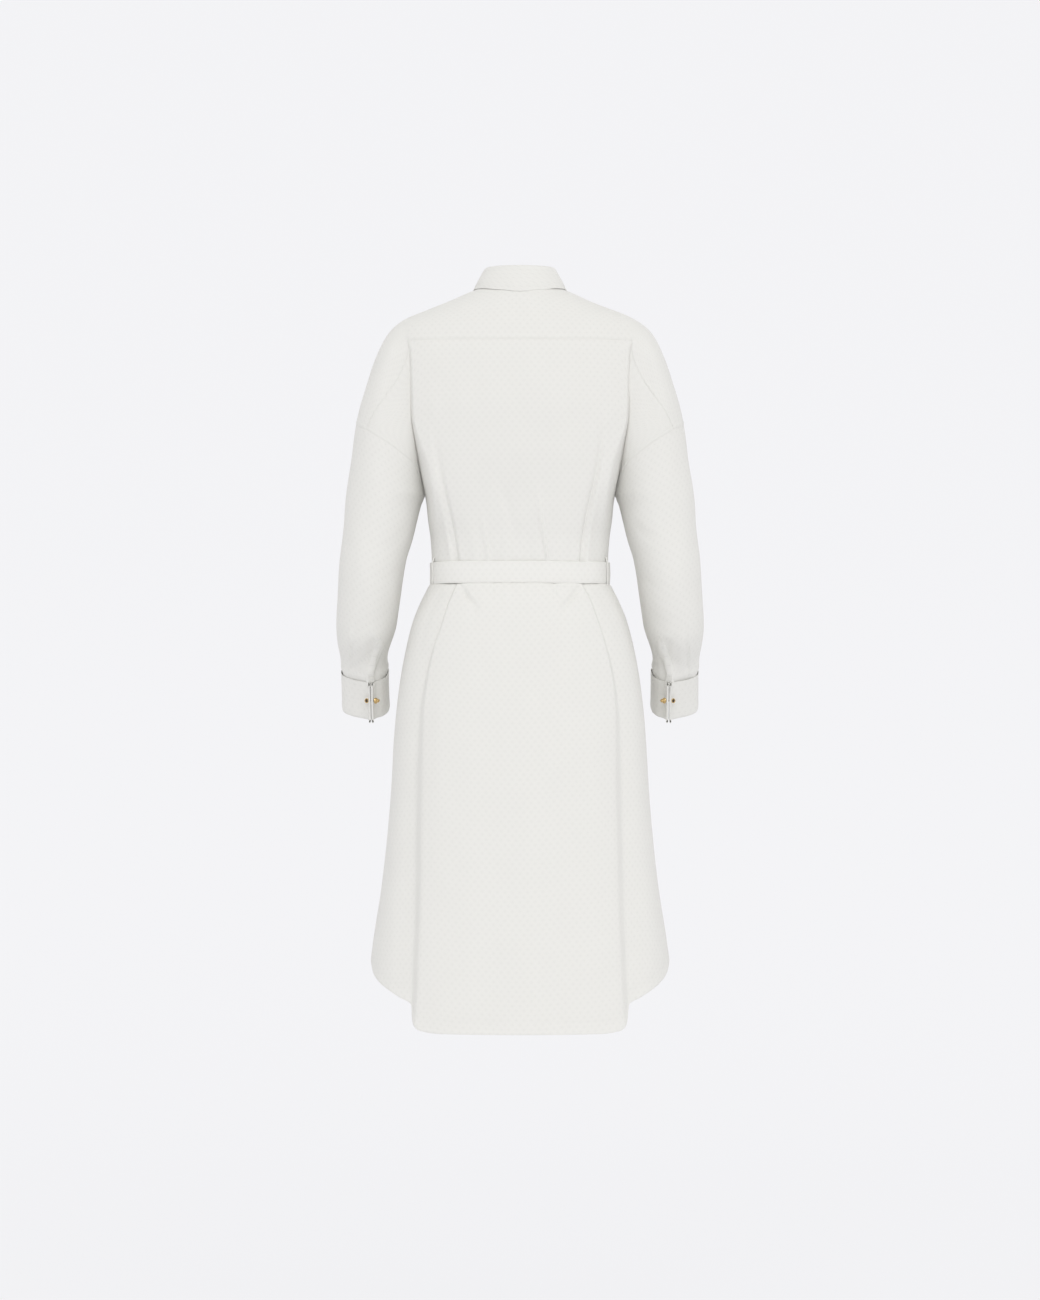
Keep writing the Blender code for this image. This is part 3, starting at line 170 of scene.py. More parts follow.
FRONT_FOLD = Fold(
    "step", True, (LEFT, RIGHT), 5.0, 42.0,
    rows(
        FoldPoint, (-270, 106, 0), (-345, 96, 1.2), (-381, 88, 1.2), (-400, 87, 0), (-416, 86, 0),
        (-422, 87, 2.6), (-446, 97, 4.2), (-500, 113, 5.6), (-627, 132, 7.5), (-850, 142, 8),
        (-1050, 150, 8),
    ),
)
FRONT_TUCK = Fold(
    "tuck", True, (LEFT, RIGHT), 4.5, 0.0,
    rows(
        FoldPoint, (-330, 50, 0), (-381, 47, 2.6), (-388, 47, 0), (-425, 47, 0), (-434, 48, 2.8),
        (-460, 53, 0), (-1050, 68, 0),
    ),
)
FOLDS = (BACK_FOLD_LEFT, BACK_FOLD_RIGHT, BACK_TUCK_LEFT, BACK_TUCK_RIGHT, FRONT_FOLD, FRONT_TUCK)

# The cuff's run round the wrist, from one pinched end to the other, about the wrist's centre. x is outwards.
CuffPoint = namedtuple("CuffPoint", "x y")
CUFF_RUN = rows(
    CuffPoint, (-5.2, 52), (-5.2, 46), (-4.6, 40), (4, 34), (20, 25), (33.5, 10), (36.5, -8), (26, -27),
    (2, -37), (-19.5, -28), (-29, -9), (-27.5, 9), (-21.5, 24), (-11.5, 34), (-8.4, 40), (-8.8, 46),
    (-8.8, 52),
)
STUD_HEIGHT = 0.546  # share of the cuff's height above its fold
STUD_OUT = 44.5  # how far behind the wrist's centre the stud passes

STAND_HEIGHT, STAND_LEAN, STAND_SIDE_LEAN = 28.0, 8.0, 13.5
FALL_OVER = 5.5  # clearance of the collar's free edge above the cloth
FallEdge = namedtuple("FallEdge", "share x y")
FALL_EDGE = rows(
    FallEdge, (-0.18, -34, 49.5), (0, 0, 56.5), (0.18, 34, 49.5), (0.36, 60, 24), (0.47, 66.5, 0),
    (0.6, 68, -24), (0.76, 64, -55), (0.9, 57, -79), (1.0, 49, -94),
)

BUTTON_RADIUS, BUTTON_THICK = 5.5, 2.5
BUTTON_COUNT = 9
HOLES, HOLE_RADIUS = (-1.25, 1.25), 0.62  # places of a button's four holes, across and up


# ---------------------------------------------------------------- smooth functions of a table


class Smooth:
    """A smooth curve through places and values, which never overshoots them and is level beyond its ends."""

    def __init__(self, places, values):
        order = np.argsort(places)
        self.places = np.asarray(places, float)[order]
        self.values = np.asarray(values, float)[order]
        steps = np.diff(self.places)
        slopes = np.diff(self.values) / steps
        self.slopes = np.concatenate([slopes[:1], np.zeros(len(steps) - 1), slopes[-1:]])
        for i in range(1, len(steps)):
            if slopes[i - 1] * slopes[i] > 0:
                before = 2 * steps[i] + steps[i - 1]
                after = steps[i] + 2 * steps[i - 1]
                self.slopes[i] = (before + after) / (before / slopes[i - 1] + after / slopes[i])

    def __call__(self, place):
        place = np.clip(place, self.places[0], self.places[-1])
        i = np.clip(np.searchsorted(self.places, place) - 1, 0, len(self.places) - 2)
        step = self.places[i + 1] - self.places[i]
        t = (place - self.places[i]) / step
        start = (1 + 2 * t) * (1 - t) ** 2 * self.values[i] + t * (1 - t) ** 2 * step * self.slopes[i]
        end = t * t * (3 - 2 * t) * self.values[i + 1] + t * t * (t - 1) * step * self.slopes[i + 1]
        return start + end


def column(table, value, place="z"):
    return Smooth([getattr(row, place) for row in table], [getattr(row, value) for row in table])


HALF_WIDTH, BACK, FRONT = (column(TORSO, name) for name in ("half_width", "back", "front"))
OUTER, INNER, ARM_Y, ARM_DEPTH = (column(ARM, name) for name in ("outer", "inner", "centre_y", "half_depth"))
CREASE_BACK, CREASE_FRONT = column(CREASE, "back"), column(CREASE, "front")
YOKE_LINE = column(BACK_YOKE_SEAM, "z", "s")
SLEEVE_LINE = column(SLEEVE_SEAM, "z", "s")
HEM_LINES = {False: column(BACK_HEM, "z", "t"), True: column(FRONT_HEM, "z", "t")}
FOLD_X = {fold: column(fold.points, "x") for fold in FOLDS}
FOLD_HEIGHT = {fold: column(fold.points, "height") for fold in FOLDS}
# how wide a step is at each height, as a share of its fold's width
STEP_SHARES = Smooth((-1050, -990, -700, -600, -480, -430, -262), (1.5, 1.7, 1.9, 1.3, 0.5, 0.42, 0.8))


def ease(start, end, value):
    t = np.clip((value - start) / (end - start), 0.0, 1.0)
    return t * t * (3 - 2 * t)


def mix(a, b, share):
    return a + (b - a) * share


# ---------------------------------------------------------------- the outer surface

SHOULDER_TOP, SHOULDER_END = -51.0, -110.0  # between these the shoulders' oval gives way to torso and arms
TEARDROP_TOP = -478.0  # the sleeve starts to take the cuff's shape
SLANT_TOP = -330.0  # the forearm's rings start to tilt


def unit(vectors):
    return vectors / np.maximum(np.linalg.norm(vectors, axis=-1, keepdims=True), 1e-9)


def arc(points, axis):
    """Distance along a path, or along the rows or columns of a grid of points."""
    steps = np.linalg.norm(np.diff(points, axis=axis), axis=-1)
    zero = np.zeros_like(np.take(steps, [0], axis=axis))
    return np.concatenate([zero, np.cumsum(steps, axis=axis)], axis=axis)


def between(knots, counts):
    """Evenly spaced values between each two knots. A knot is a number or an array."""
    runs = []
    for a, b, count in zip(knots, knots[1:], counts):
        runs += [mix(a, b, k / count) for k in range(count)]
    return runs + [knots[-1]]


def cuff_run(share):
    """Point of the cuff's middle line, about the wrist's centre. share is 0 at one end and 1 at the other."""
    points = np.array(CUFF_RUN)
    lengths = arc(points, 0)
    lengths /= lengths[-1]
    return Smooth(lengths, points[:, 0])(share), Smooth(lengths, points[:, 1])(share)


FIN_SHARE = 0.062  # share of the run that each pinched end takes


def sleeve_end(u_round):
    """The sleeve's last ring, the cuff's run without its pinched ends. u_round is 0 and 1 on the inside."""
    slit = (SLIT - VALLEY) / (1 - VALLEY) / 2
    share = np.where(
        u_round < slit,
        mix(0.74, 1 - FIN_SHARE, u_round / slit),
        mix(FIN_SHARE, 0.74, (u_round - slit) / (1 - slit)),
    )
    return cuff_run(share)


def is_arm(s):
    return np.abs(s - 1) < 1 - VALLEY - 1e-7


def oval(depth, width, x):
    """Depth of a flattened oval at x."""
    return depth * np.sqrt(np.maximum(1 - (x / width) ** OVAL, 0.0))


def turned_in(share):
    """How far a section has turned in at its last part, where torso and arm meet in the crease."""
    return np.clip((share - 0.93) / 0.07, 0.0, 1.0) ** 2


def torso_section(t, z, depth, crease, turn):
    """x and y of a quarter of the torso, from its middle, t = 0, to the arm crease, t = 1."""
    half = HALF_WIDTH(z)
    angle = t * math.pi / 2
    x = half * np.sin(angle) ** ROUND
    drop = oval(depth, BACK_PLANE, half) - crease
    creased = oval(depth, BACK_PLANE, x) - drop * ease(mix(0.66, 0.84, ease(-262.0, -190.0, z)), 1.0, t)
    round_y = crease + (depth - crease) * np.abs(np.cos(angle)) ** ROUND
    bottom = turned_in(t)
    y = mix(round_y, creased, ease(-372.0, -276.0, z)) - np.minimum(turn, crease) * bottom
    return x + turn * bottom, y


def arm_section(u, z, centre_y, crease, turn):
    """x and y of half an arm, from the crease, u = VALLEY, to its outer side, u = 1."""
    half, outer = HALF_WIDTH(z), OUTER(z)
    inner = np.where(z >= UNDERARM, half + CREASE_GAP, np.maximum(INNER(z), half + 2 * turn))
    angle = np.clip(math.pi * (1 - (u - VALLEY) / (1 - VALLEY)), 0.0, math.pi)
    inwards = angle > math.pi / 2
    root = np.where(inwards & (z >= UNDERARM), crease, centre_y)
    reach = ARM_DEPTH(z) + centre_y
    steep = mix(mix(1.0, 1.3, ease(-340.0, UNDERARM, z)), 0.6, ease(UNDERARM, -180.0, z))
    bottom = turned_in(angle / math.pi)
    x = (inner + outer) / 2 + (outer - inner) / 2 * np.cos(angle)
    y = root + (reach - root) * np.abs(np.sin(angle)) ** np.where(inwards, steep, 1.0)
    return x - turn * bottom, y - np.minimum(turn, crease) * bottom


def base_section(s, z):
    """x and y of the outer surface without folds, on the wearer's left, at height z."""
    front = s > 1.0
    way = np.where(front, -1.0, 1.0)
    u = np.where(front, 2.0 - s, s)
    depth = np.where(front, FRONT(z), BACK(z))
    crease = np.where(front, CREASE_FRONT(z), CREASE_BACK(z))
    turn = CREASE_GAP / 2 * ease(UNDERARM - 12, UNDERARM, z)
    on_arm, outer = is_arm(s), OUTER(z)
    torso_x, torso_y = torso_section(np.clip(u / VALLEY, 0.0, 1.0), z, depth, crease, turn)
    arm_x, arm_y = arm_section(u, z, way * ARM_Y(z), crease, turn)
    x, y = np.where(on_arm, arm_x, torso_x), np.where(on_arm, arm_y, torso_y)
    y = way * mix(y, oval(depth, outer, np.minimum(x, outer)), ease(SHOULDER_END, SHOULDER_TOP, z))

    drop = ease(TEARDROP_TOP, CUFF_TOP, z)
    half_round = (u - VALLEY) / (1 - VALLEY) / 2
    end_x, end_y = sleeve_end(np.clip(np.where(front, 1 - half_round, half_round), 0, 1))
    x = np.where(on_arm, mix(x, (INNER(z) + outer) / 2 + end_x, drop), x)
    y = np.where(on_arm, mix(y, ARM_Y(z) + end_y, drop), y)
    return x, y


def arm_slant(z):
    """Fall of a forearm ring for each millimetre towards the back."""
    return 0.36 * ease(SLANT_TOP, -520.0, z)


def fold_depth(side, s, z, x):
    """Height of the body's folds over the plain surface."""
    depth = np.zeros(np.broadcast(s, z).shape)
    for fold in FOLDS:
        if side not in fold.sides:
            continue
        away = x - FOLD_X[fold](z)
        if fold.kind == "step":
            width = fold.width * STEP_SHARES(z)
            fade = np.exp(-np.maximum(away - width, 0.0) / fold.fade)
            shape = -ease(-width, width, away) * fade
            shape = shape * (1 - ease(0.8, 1.0, x / HALF_WIDTH(z)))
        else:
            shape = np.maximum(1 - np.abs(away) / fold.width, 0.0)
        here = (np.abs(s - 1) > 1 - VALLEY) & ((s > 1) == fold.front)
        depth = depth + np.where(here, shape * FOLD_HEIGHT[fold](z), 0.0)
    return depth


def surface(side, s, z):
    """Points of the outer surface, as an array with x, y, z last."""
    s, z = np.broadcast_arrays(np.asarray(s, float), np.asarray(z, float))
    x, y = base_section(s, z)
    small = 2e-4
    after_x, after_y = base_section(s + small, z)
    before_x, before_y = base_section(np.abs(s - small), z)
    before_x = np.where(s < small, -before_x, before_x)
    along = unit(np.stack([after_x - before_x, after_y - before_y], -1))
    depth = fold_depth(side, s, z, x)
    x = x - along[..., 1] * depth
    y = y + along[..., 0] * depth
    slanted = z - np.where(is_arm(s), arm_slant(z) * (y - ARM_Y(z)), 0.0)
    return np.stack([side * x, y, slanted], -1)


def normals(side, s, z):
    """Unit vectors out of the surface. Below the underarm they never reach from the body to the sleeve."""
    s, z = np.broadcast_arrays(np.asarray(s, float), np.asarray(z, float))
    ds, dz = 2e-3, 0.4
    low, high = np.maximum(s - ds, 0.0), np.minimum(s + ds, 2.0)
    apart = z < UNDERARM + 1.0
    for seam, way in ((VALLEY, 1), (2 - VALLEY, -1)):
        body, arm = (seam - s) * way > -1e-7, (seam - s) * way < -1e-7
        crossing = apart & (np.abs(s - seam) < ds)
        edge = seam + 1e-6 * way
        above, below, start, end = (arm, body, edge, seam) if way > 0 else (body, arm, seam, edge)
        low = np.where(crossing & above, np.maximum(low, start), low)
        high = np.where(crossing & below, np.minimum(high, end), high)
    along = surface(side, high, z) - surface(side, low, z)
    down = surface(side, s, z - dz) - surface(side, s, z + dz)
    return unit(np.cross(along, down) * side)


def side_share(x, z):
    """t of the point at half width x on the torso, the inverse of the torso's run."""
    return 2 / math.pi * np.arcsin(np.clip(x / HALF_WIDTH(z), 0, 1) ** (1 / ROUND))


SLIT, STRIP = 0.728, 0.0145  # the sleeve slit's line in s, and half the width of the band over it
FRONT_START = PLACKET_WIDTH / 2 + SEAM / 2
NECK_HALF_WIDTH, NECK_HALF_DEPTH, NECK_Y = 60.0, 55.0, -7.0  # the neck opening's oval at the front
BODY_ROUND, WAIST_ROUND, SLEEVE_ROUND = 430.0, 260.0, 330.0  # about how many millimetres one unit of s covers


def front_top(s):
    """Height of a front panel's upper edge: where the surface meets the neck's oval."""
    s = np.asarray(s, float)
    high, low = np.zeros_like(s), np.full_like(s, -90.0)
    for _ in range(40):
        middle = (high + low) / 2
        x, y = base_section(s, middle)
        inside = (x / NECK_HALF_WIDTH) ** 2 + ((y - NECK_Y) / NECK_HALF_DEPTH) ** 2 < 1.0
        high, low = np.where(inside, middle, high), np.where(inside, low, middle)
    return high


# ---------------------------------------------------------------- creases laid one by one

# A crease is a line on the cloth: x and z of each point, the height of its ridge there (below 0 is a trough)
# and its half width. lean makes one side steeper than the other.
Place = namedtuple("Place", "x z height width")
DrawnCrease = namedtuple("DrawnCrease", "lean places")


def drawn(lean, *places):
    return DrawnCrease(lean, rows(Place, *places))


BACK_LINES = (
    # above the belt, wearer's left: the fold that runs up to the arm, its trough, and those of the middle
    drawn(0.8, (94, -395, 3.0, 4.5), (101, -348, 3.5, 5.5), (110, -305, 3.1, 6.5), (119, -258, 2.2, 7.5),
          (124, -219, 0.9, 8), (126, -190, 0, 9)),
    drawn(0.0, (88, -395, -2.4, 2.8), (95, -348, -3.0, 3), (104, -305, -2.8, 3.4), (113, -258, -1.5, 4),
          (118, -219, 0, 5)),
    drawn(0.0, (62, -395, 0.8, 5), (65, -372, 0.9, 6), (72, -340, 0.5, 8), (79, -312, 0, 9)),
    drawn(0.3, (37, -395, -1.2, 3.2), (39, -372, -1.3, 4), (43, -350, -0.7, 6), (47, -326, 0, 7)),
    drawn(0.0, (4, -391, 0.0, 5), (6, -352, -1.3, 5.5), (17, -316, -1.7, 6.5), (28, -283, -1.1, 8),
          (36, -252, 0, 9)),
    drawn(0.0, (20, -395, 0.9, 5), (19, -368, 1.0, 6), (23, -338, 0, 8)),
    # above the belt, wearer's right
    drawn(-0.8, (-92, -395, 2.8, 4.5), (-96, -350, 3.3, 5.5), (-105, -298, 3.1, 6.5),
          (-115, -248, 2.4, 7.5), (-121, -187, 1.1, 8), (-124, -150, 0, 9)),
    drawn(0.6, (-42, -395, 1.2, 3.5), (-38, -370, 1.8, 4.5), (-31, -330, 1.6, 5.5), (-26, -298, 0.9, 7),
          (-22, -268, 0, 8)),
    drawn(0.0, (-60, -395, 0.9, 5), (-63, -370, 1.0, 6), (-68, -340, 0, 8)),
    drawn(0.0, (-86, -395, -3.2, 2.8), (-91, -350, -3.9, 3), (-100, -302, -3.6, 3.2),
          (-111, -252, -2.6, 3.8), (-117, -198, 0, 5)),
    drawn(0.0, (-14, -395, -0.8, 4), (-14, -374, -1.0, 5), (-13, -350, 0, 6)),
    drawn(0.0, (-104, -300, 0, 6), (-112, -262, -0.7, 7), (-124, -225, -0.6, 8), (-128, -190, 0, 9)),
    # below the belt, wearer's left: the V of the fold, and its tuck
    drawn(0.0, (87, -420, -0.7, 3.6), (75, -439, -3.9, 3.6), (63, -456, -2.8, 5), (62, -475, -0.7, 9),
          (60, -505, 0, 11)),
    drawn(0.35, (37.6, -420, -1.2, 2.4), (39.5, -434, -2.4, 3), (41.8, -447, -0.7, 4.5), (43, -465, 0, 6)),
    drawn(0.0, (20, -420, 0.0, 4), (20, -434, 0.6, 5), (21, -460, 0, 7)),
    drawn(0.3, (107, -424, 0.0, 4), (118, -440, -1.2, 5), (138, -490, -1.4, 7), (152, -540, 0, 9)),
    drawn(0.0, (135, -600, 0, 9), (152, -680, -1.8, 12), (157, -760, -2.4, 15), (158, -850, -2.4, 16),
          (160, -930, -1.8, 15), (163, -985, -0.9, 13)),
    drawn(0.0, (104, -500, 0, 9), (110, -570, 0.9, 12), (114, -680, 1.0, 15), (112, -800, 0.4, 18),
          (110, -900, 0, 18)),
    # below the belt, wearer's right
    drawn(0.0, (-87, -420, -0.7, 3.6), (-76, -438, -3.9, 3.6), (-63, -456, -2.7, 5), (-60, -478, 0, 9)),
    drawn(-0.35, (-47.6, -420, -1.2, 2.4), (-51.6, -434, -2.4, 3), (-55.8, -447, -0.7, 4.5),
          (-58, -465, 0, 6)),
    drawn(0.0, (-22, -420, 0.0, 4), (-23, -436, 0.6, 5), (-24, -462, 0, 7)),
    drawn(-0.3, (-106, -424, 0.0, 4), (-120, -444, -1.2, 5), (-141, -496, -1.5, 7), (-155, -550, 0, 9)),
    drawn(0.0, (-138, -610, 0, 9), (-150, -690, -1.6, 12), (-153, -760, -2.3, 14), (-156, -850, -2.2, 15),
          (-159, -930, -1.5, 14), (-160, -985, -0.8, 13)),
    drawn(0.0, (-100, -500, 0, 9), (-104, -560, 0.9, 12), (-108, -660, 0.9, 15), (-108, -780, 0.4, 18),
          (-106, -880, 0, 18)),
    # broad, shallow falls of the skirt, and the drag between the shoulder blades
    drawn(0.0, (30, -520, 0, 14), (34, -640, -0.9, 20), (40, -800, -1.2, 24), (44, -1040, -1.4, 26)),
    drawn(0.0, (-42, -500, 0, 14), (-48, -650, -1.0, 20), (-52, -820, -1.3, 24), (-58, -1040, -1.2, 26)),
    drawn(0.0, (-4, -560, 0, 14), (-6, -760, 0.9, 22), (-8, -1040, 1.2, 26)),
    drawn(0.0, (58, -110, 0, 12), (64, -160, -0.6, 14), (60, -220, -0.5, 16), (50, -270, 0, 18)),
    drawn(0.0, (-70, -105, 0, 12), (-72, -160, -0.6, 14), (-64, -215, -0.4, 16), (-50, -270, 0, 18)),
    drawn(0.0, (112, -120, 0, 8), (120, -170, 0.7, 10), (121, -215, 0, 12)),
    drawn(0.0, (-112, -115, 0, 8), (-121, -170, 0.7, 10), (-123, -215, 0, 12)),
)

FRONT_LINES = (
    drawn(0.8, (86, -395, 2.0, 5), (93, -350, 2.3, 6), (101, -300, 1.9, 7), (109, -252, 0.8, 8),
          (113, -215, 0, 9)),
    drawn(-0.8, (-85, -395, 2.1, 5), (-92, -345, 2.4, 6), (-102, -296, 1.8, 7), (-110, -248, 0.7, 8),
          (-114, -210, 0, 9)),
    drawn(0.3, (60, -391, 0, 5), (64, -370, 0.8, 6), (72, -330, 0.5, 8), (80, -290, 0, 10)),
    drawn(-0.3, (-58, -391, 0, 5), (-63, -368, 0.8, 6), (-70, -334, 0.5, 8), (-77, -300, 0, 10)),
    drawn(0.0, (34, -395, -1.3, 4), (35, -366, -1.6, 5), (38, -330, -0.9, 7), (42, -295, 0, 8)),
    drawn(0.0, (-36, -395, -1.3, 4), (-36, -370, -1.5, 5), (-37, -342, 0, 7)),
    drawn(0.0, (86, -420, -1.7, 4), (77, -440, -2.0, 5), (66, -458, -1.3, 7), (60, -484, 0, 9)),
    drawn(0.0, (-86, -420, -1.7, 4), (-75, -441, -1.9, 5), (-65, -460, -1.2, 7), (-60, -488, 0, 9)),
    drawn(0.0, (104, -424, 0, 4), (118, -446, -1.2, 5), (138, -500, -1.2, 8), (148, -550, 0, 10)),
    drawn(0.0, (-104, -424, 0, 4), (-116, -444, -1.2, 5), (-135, -494, -1.3, 8), (-146, -548, 0, 10)),
    drawn(0.0, (110, -540, 0, 10), (122, -680, -1.8, 15), (130, -850, -2.4, 18), (136, -1000, -1.6, 18)),
    drawn(0.0, (-112, -560, 0, 10), (-124, -700, -1.8, 15), (-130, -860, -2.3, 18),
          (-138, -1000, -1.5, 18)),
    drawn(0.0, (60, -520, 0, 12), (66, -660, 1.1, 18), (70, -1030, 1.5, 22)),
    drawn(0.0, (-62, -530, 0, 12), (-70, -680, 1.1, 18), (-76, -1030, 1.4, 22)),
    drawn(0.0, (44, -120, 0, 10), (60, -170, -0.8, 13), (84, -230, -0.7, 14), (104, -270, 0, 12)),
    drawn(0.0, (-42, -118, 0, 10), (-60, -172, -0.8, 13), (-86, -236, -0.7, 14), (-106, -272, 0, 12)),
    drawn(0.0, (96, -110, 0, 9), (112, -160, 0.8, 11), (116, -215, 0, 12)),
    drawn(0.0, (-98, -112, 0, 9), (-113, -164, 0.8, 11), (-117, -218, 0, 12)),
)

# On the arms x is the distance from the middle, whichever side the arm is on.
ARM_BACK_LINES = {
    LEFT: (
        drawn(0.0, (158, -330, 0, 5), (168, -352, -1.1, 6), (184, -368, -0.9, 7), (202, -376, 0, 9)),
        drawn(0.4, (164, -392, 0, 5), (176, -404, -1.2, 6), (194, -412, -0.9, 8), (216, -414, 0, 9)),
        drawn(0.0, (232, -330, 0, 8), (226, -380, 0.9, 10), (224, -440, 0.6, 11), (226, -490, 0, 12)),
        drawn(0.0, (176, -440, 0, 6), (190, -462, -0.9, 8), (206, -478, -0.6, 9), (220, -488, 0, 10)),
        drawn(0.0, (208, -492, 0, 5), (211, -515, -1.3, 5), (213, -535, -1.5, 4.5), (213, -548, -1.0, 4)),
        drawn(0.0, (228, -500, 0, 6), (231, -520, 0.9, 6), (232, -540, 1.1, 5), (231, -550, 0.6, 5)),
        drawn(-0.7, (238, -466, 0, 4), (239, -490, 1.8, 3.6), (241, -520, 2.6, 3.2), (243, -548, 2.4, 3.0)),
        drawn(0.0, (217, -482, 0, 4), (208, -492, 1.1, 4), (199, -506, 1.1, 4), (195, -522, 0, 4)),
        drawn(0.0, (222, -494, 0, 4), (213, -506, -1.0, 4), (206, -520, -1.1, 4), (203, -538, 0, 4)),
        drawn(0.9, (210, -550, 2.6, 4), (203, -533, 2.8, 4.5), (196, -516, 2.4, 4.5), (190, -500, 0, 5)),
        drawn(0.0, (180, -500, 0, 5), (186, -520, 1.0, 6), (192, -540, 0.9, 5), (195, -550, 0.4, 5)),
        drawn(0.0, (176, -190, 0, 9), (186, -160, -0.7, 12), (186, -120, -0.4, 14), (180, -92, 0, 14)),
        drawn(0.0, (214, -230, 0, 8), (205, -290, 0.8, 12), (200, -340, 0, 14)),
    ),
    RIGHT: (
        drawn(0.0, (156, -326, 0, 5), (170, -346, -1.1, 6), (188, -358, -0.8, 8), (204, -362, 0, 9)),
        drawn(0.4, (166, -402, 0, 5), (178, -416, -1.3, 6), (198, -424, -0.9, 8), (220, -424, 0, 9)),
        drawn(0.0, (234, -340, 0, 8), (228, -390, 0.9, 10), (225, -445, 0.6, 11), (226, -492, 0, 12)),
        drawn(0.0, (178, -450, 0, 6), (192, -470, -0.9, 8), (210, -484, 0, 10)),
        drawn(0.0, (207, -494, 0, 5), (210, -516, -1.3, 5), (212, -536, -1.5, 4.5), (213, -548, -1.0, 4)),
        drawn(0.0, (226, -498, 0, 6), (229, -520, 0.9, 6), (231, -540, 1.1, 5), (230, -550, 0.6, 5)),
        drawn(-0.7, (237, -470, 0, 4), (239, -494, 1.7, 3.6), (241, -522, 2.5, 3.2), (242, -548, 2.3, 3.0)),
        drawn(0.0, (219, -484, 0, 4), (209, -495, 1.1, 4), (200, -508, 1.0, 4), (196, -524, 0, 4)),
        drawn(0.0, (221, -496, 0, 4), (214, -508, -1.0, 4), (206, -523, -1.1, 4), (204, -540, 0, 4)),
        drawn(0.9, (210, -550, 2.6, 4), (204, -534, 2.8, 4.5), (197, -518, 2.3, 4.5), (191, -502, 0, 5)),
        drawn(0.0, (182, -502, 0, 5), (187, -520, 1.0, 6), (192, -540, 0.9, 5), (196, -550, 0.4, 5)),
        drawn(0.0, (178, -196, 0, 9), (188, -162, -0.7, 12), (187, -120, -0.4, 14), (180, -90, 0, 14)),
        drawn(0.0, (216, -236, 0, 8), (207, -300, 0.8, 12), (203, -350, 0, 14)),
    ),
}
# The front of an arm takes the other arm's back creases, moved and drawn a little stronger.
ARM_FRONT_LINES = {
    side: tuple(
        drawn(line.lean, *((p.x + 2 * side, p.z + shift, p.height * grow, p.width) for p in line.places))
        for line in ARM_BACK_LINES[-side]
    )
    for side, shift, grow in ((LEFT, -9.0, 1.15), (RIGHT, 6.0, 1.1))
}

# Low waves of the cloth at rest: waves a millimetre across and down, phase and height.
Wave = namedtuple("Wave", "across down phase height")
WAVES = rows(
    Wave, (0.083, 0.021, 0.4, 0.16), (-0.047, 0.036, 1.9, 0.2), (0.118, -0.044, 3.1, 0.1),
    (0.029, 0.071, 5.2, 0.13), (-0.151, 0.063, 2.2, 0.06), (0.064, 0.104, 0.9, 0.07),
)


def crease_relief(x, z, line):
    """Height that one crease gives at each place."""
    at = np.array([(p.x, p.z) for p in line.places], float)
    run = arc(at, 0)
    fine = np.linspace(0, run[-1], 28)
    path = np.stack([Smooth(run, at[:, k])(fine) for k in (0, 1)], -1)
    height = Smooth(run, [p.height for p in line.places])(fine)
    width = Smooth(run, [p.width for p in line.places])(fine)
    reach = 3 * width.max()
    result = np.zeros(x.shape)
    near = (np.abs(x - path[:, 0].mean()) < np.ptp(path[:, 0]) / 2 + reach + 12)
    near &= (z < path[:, 1].max() + reach) & (z > path[:, 1].min() - reach)
    if not near.any():
        return result
    place = np.stack([x[near], z[near]], -1)[:, None]
    start, step = path[:-1], np.diff(path, axis=0)
    length = (step ** 2).sum(-1)
    t = np.clip(((place - start) * step).sum(-1) / length, 0, 1)
    off = place - start - t[..., None] * step
    best = np.argmin((off ** 2).sum(-1), axis=1)
    pick = np.arange(len(best))
    t, off = t[pick, best], off[pick, best]
    signed = (off[:, 0] * step[best, 1] - off[:, 1] * step[best, 0]) / np.sqrt(length[best])
    size = mix(width[best], width[best + 1], t)
    away = np.linalg.norm(off, axis=-1) * np.sign(signed + 1e-12) / size
    even, uneven = np.exp(-(away ** 2)), np.tanh(2.4 * away) * np.exp(-np.abs(away))
    result[near] = mix(height[best], height[best + 1], t) * ((1 - abs(line.lean)) * even + line.lean * uneven)
    return result


def waves(x, y, z):
    across = x + 0.7 * y
    return sum(wave.height * np.sin(wave.across * across + wave.down * z + wave.phase) for wave in WAVES)


def gathers(x, z):
    """Fine gathers where the belt holds the cloth, uneven from side to side."""
    near = np.exp(-np.maximum(z - BELT_TOP, 0) / 13) * (z > BELT_TOP - 8)
    near = near + np.exp(-np.maximum(BELT_BOTTOM - z, 0) / 15) * (z < BELT_BOTTOM + 8)
    beat = np.sin(0.36 * x + 1.1 * np.sin(0.071 * x + 0.6))
    beat = beat + 0.6 * np.sin(0.83 * x + 1.3 + 0.8 * np.sin(0.11 * x))
    return 0.3 * near * beat * (0.55 + 0.45 * np.sin(0.043 * x + 1.0))


def cloth_relief(side, s, points):
    """Creases, waves and gathers over the body and the sleeves."""
    x, y, height = points[..., 0], points[..., 1], points[..., 2]
    relief = waves(x, y, height)
    arm = is_arm(s)
    for here, body_lines, arm_lines, shift in (
        (s <= 1, BACK_LINES, ARM_BACK_LINES[side], 0.0),
        (s > 1, FRONT_LINES, ARM_FRONT_LINES[side], 37.0),
    ):
        body, sleeve = here & ~arm, here & arm
        relief[body] += sum(crease_relief(x[body], height[body], line) for line in body_lines)
        relief[body] += gathers(x[body] + shift, height[body])
        relief[sleeve] += sum(crease_relief(x[sleeve] * side, height[sleeve], line) for line in arm_lines)
    crease = np.minimum(np.abs(s - VALLEY), np.abs(2 - VALLEY - s))
    return relief * ease(0.0, 0.05, crease)


# ---------------------------------------------------------------- meshes


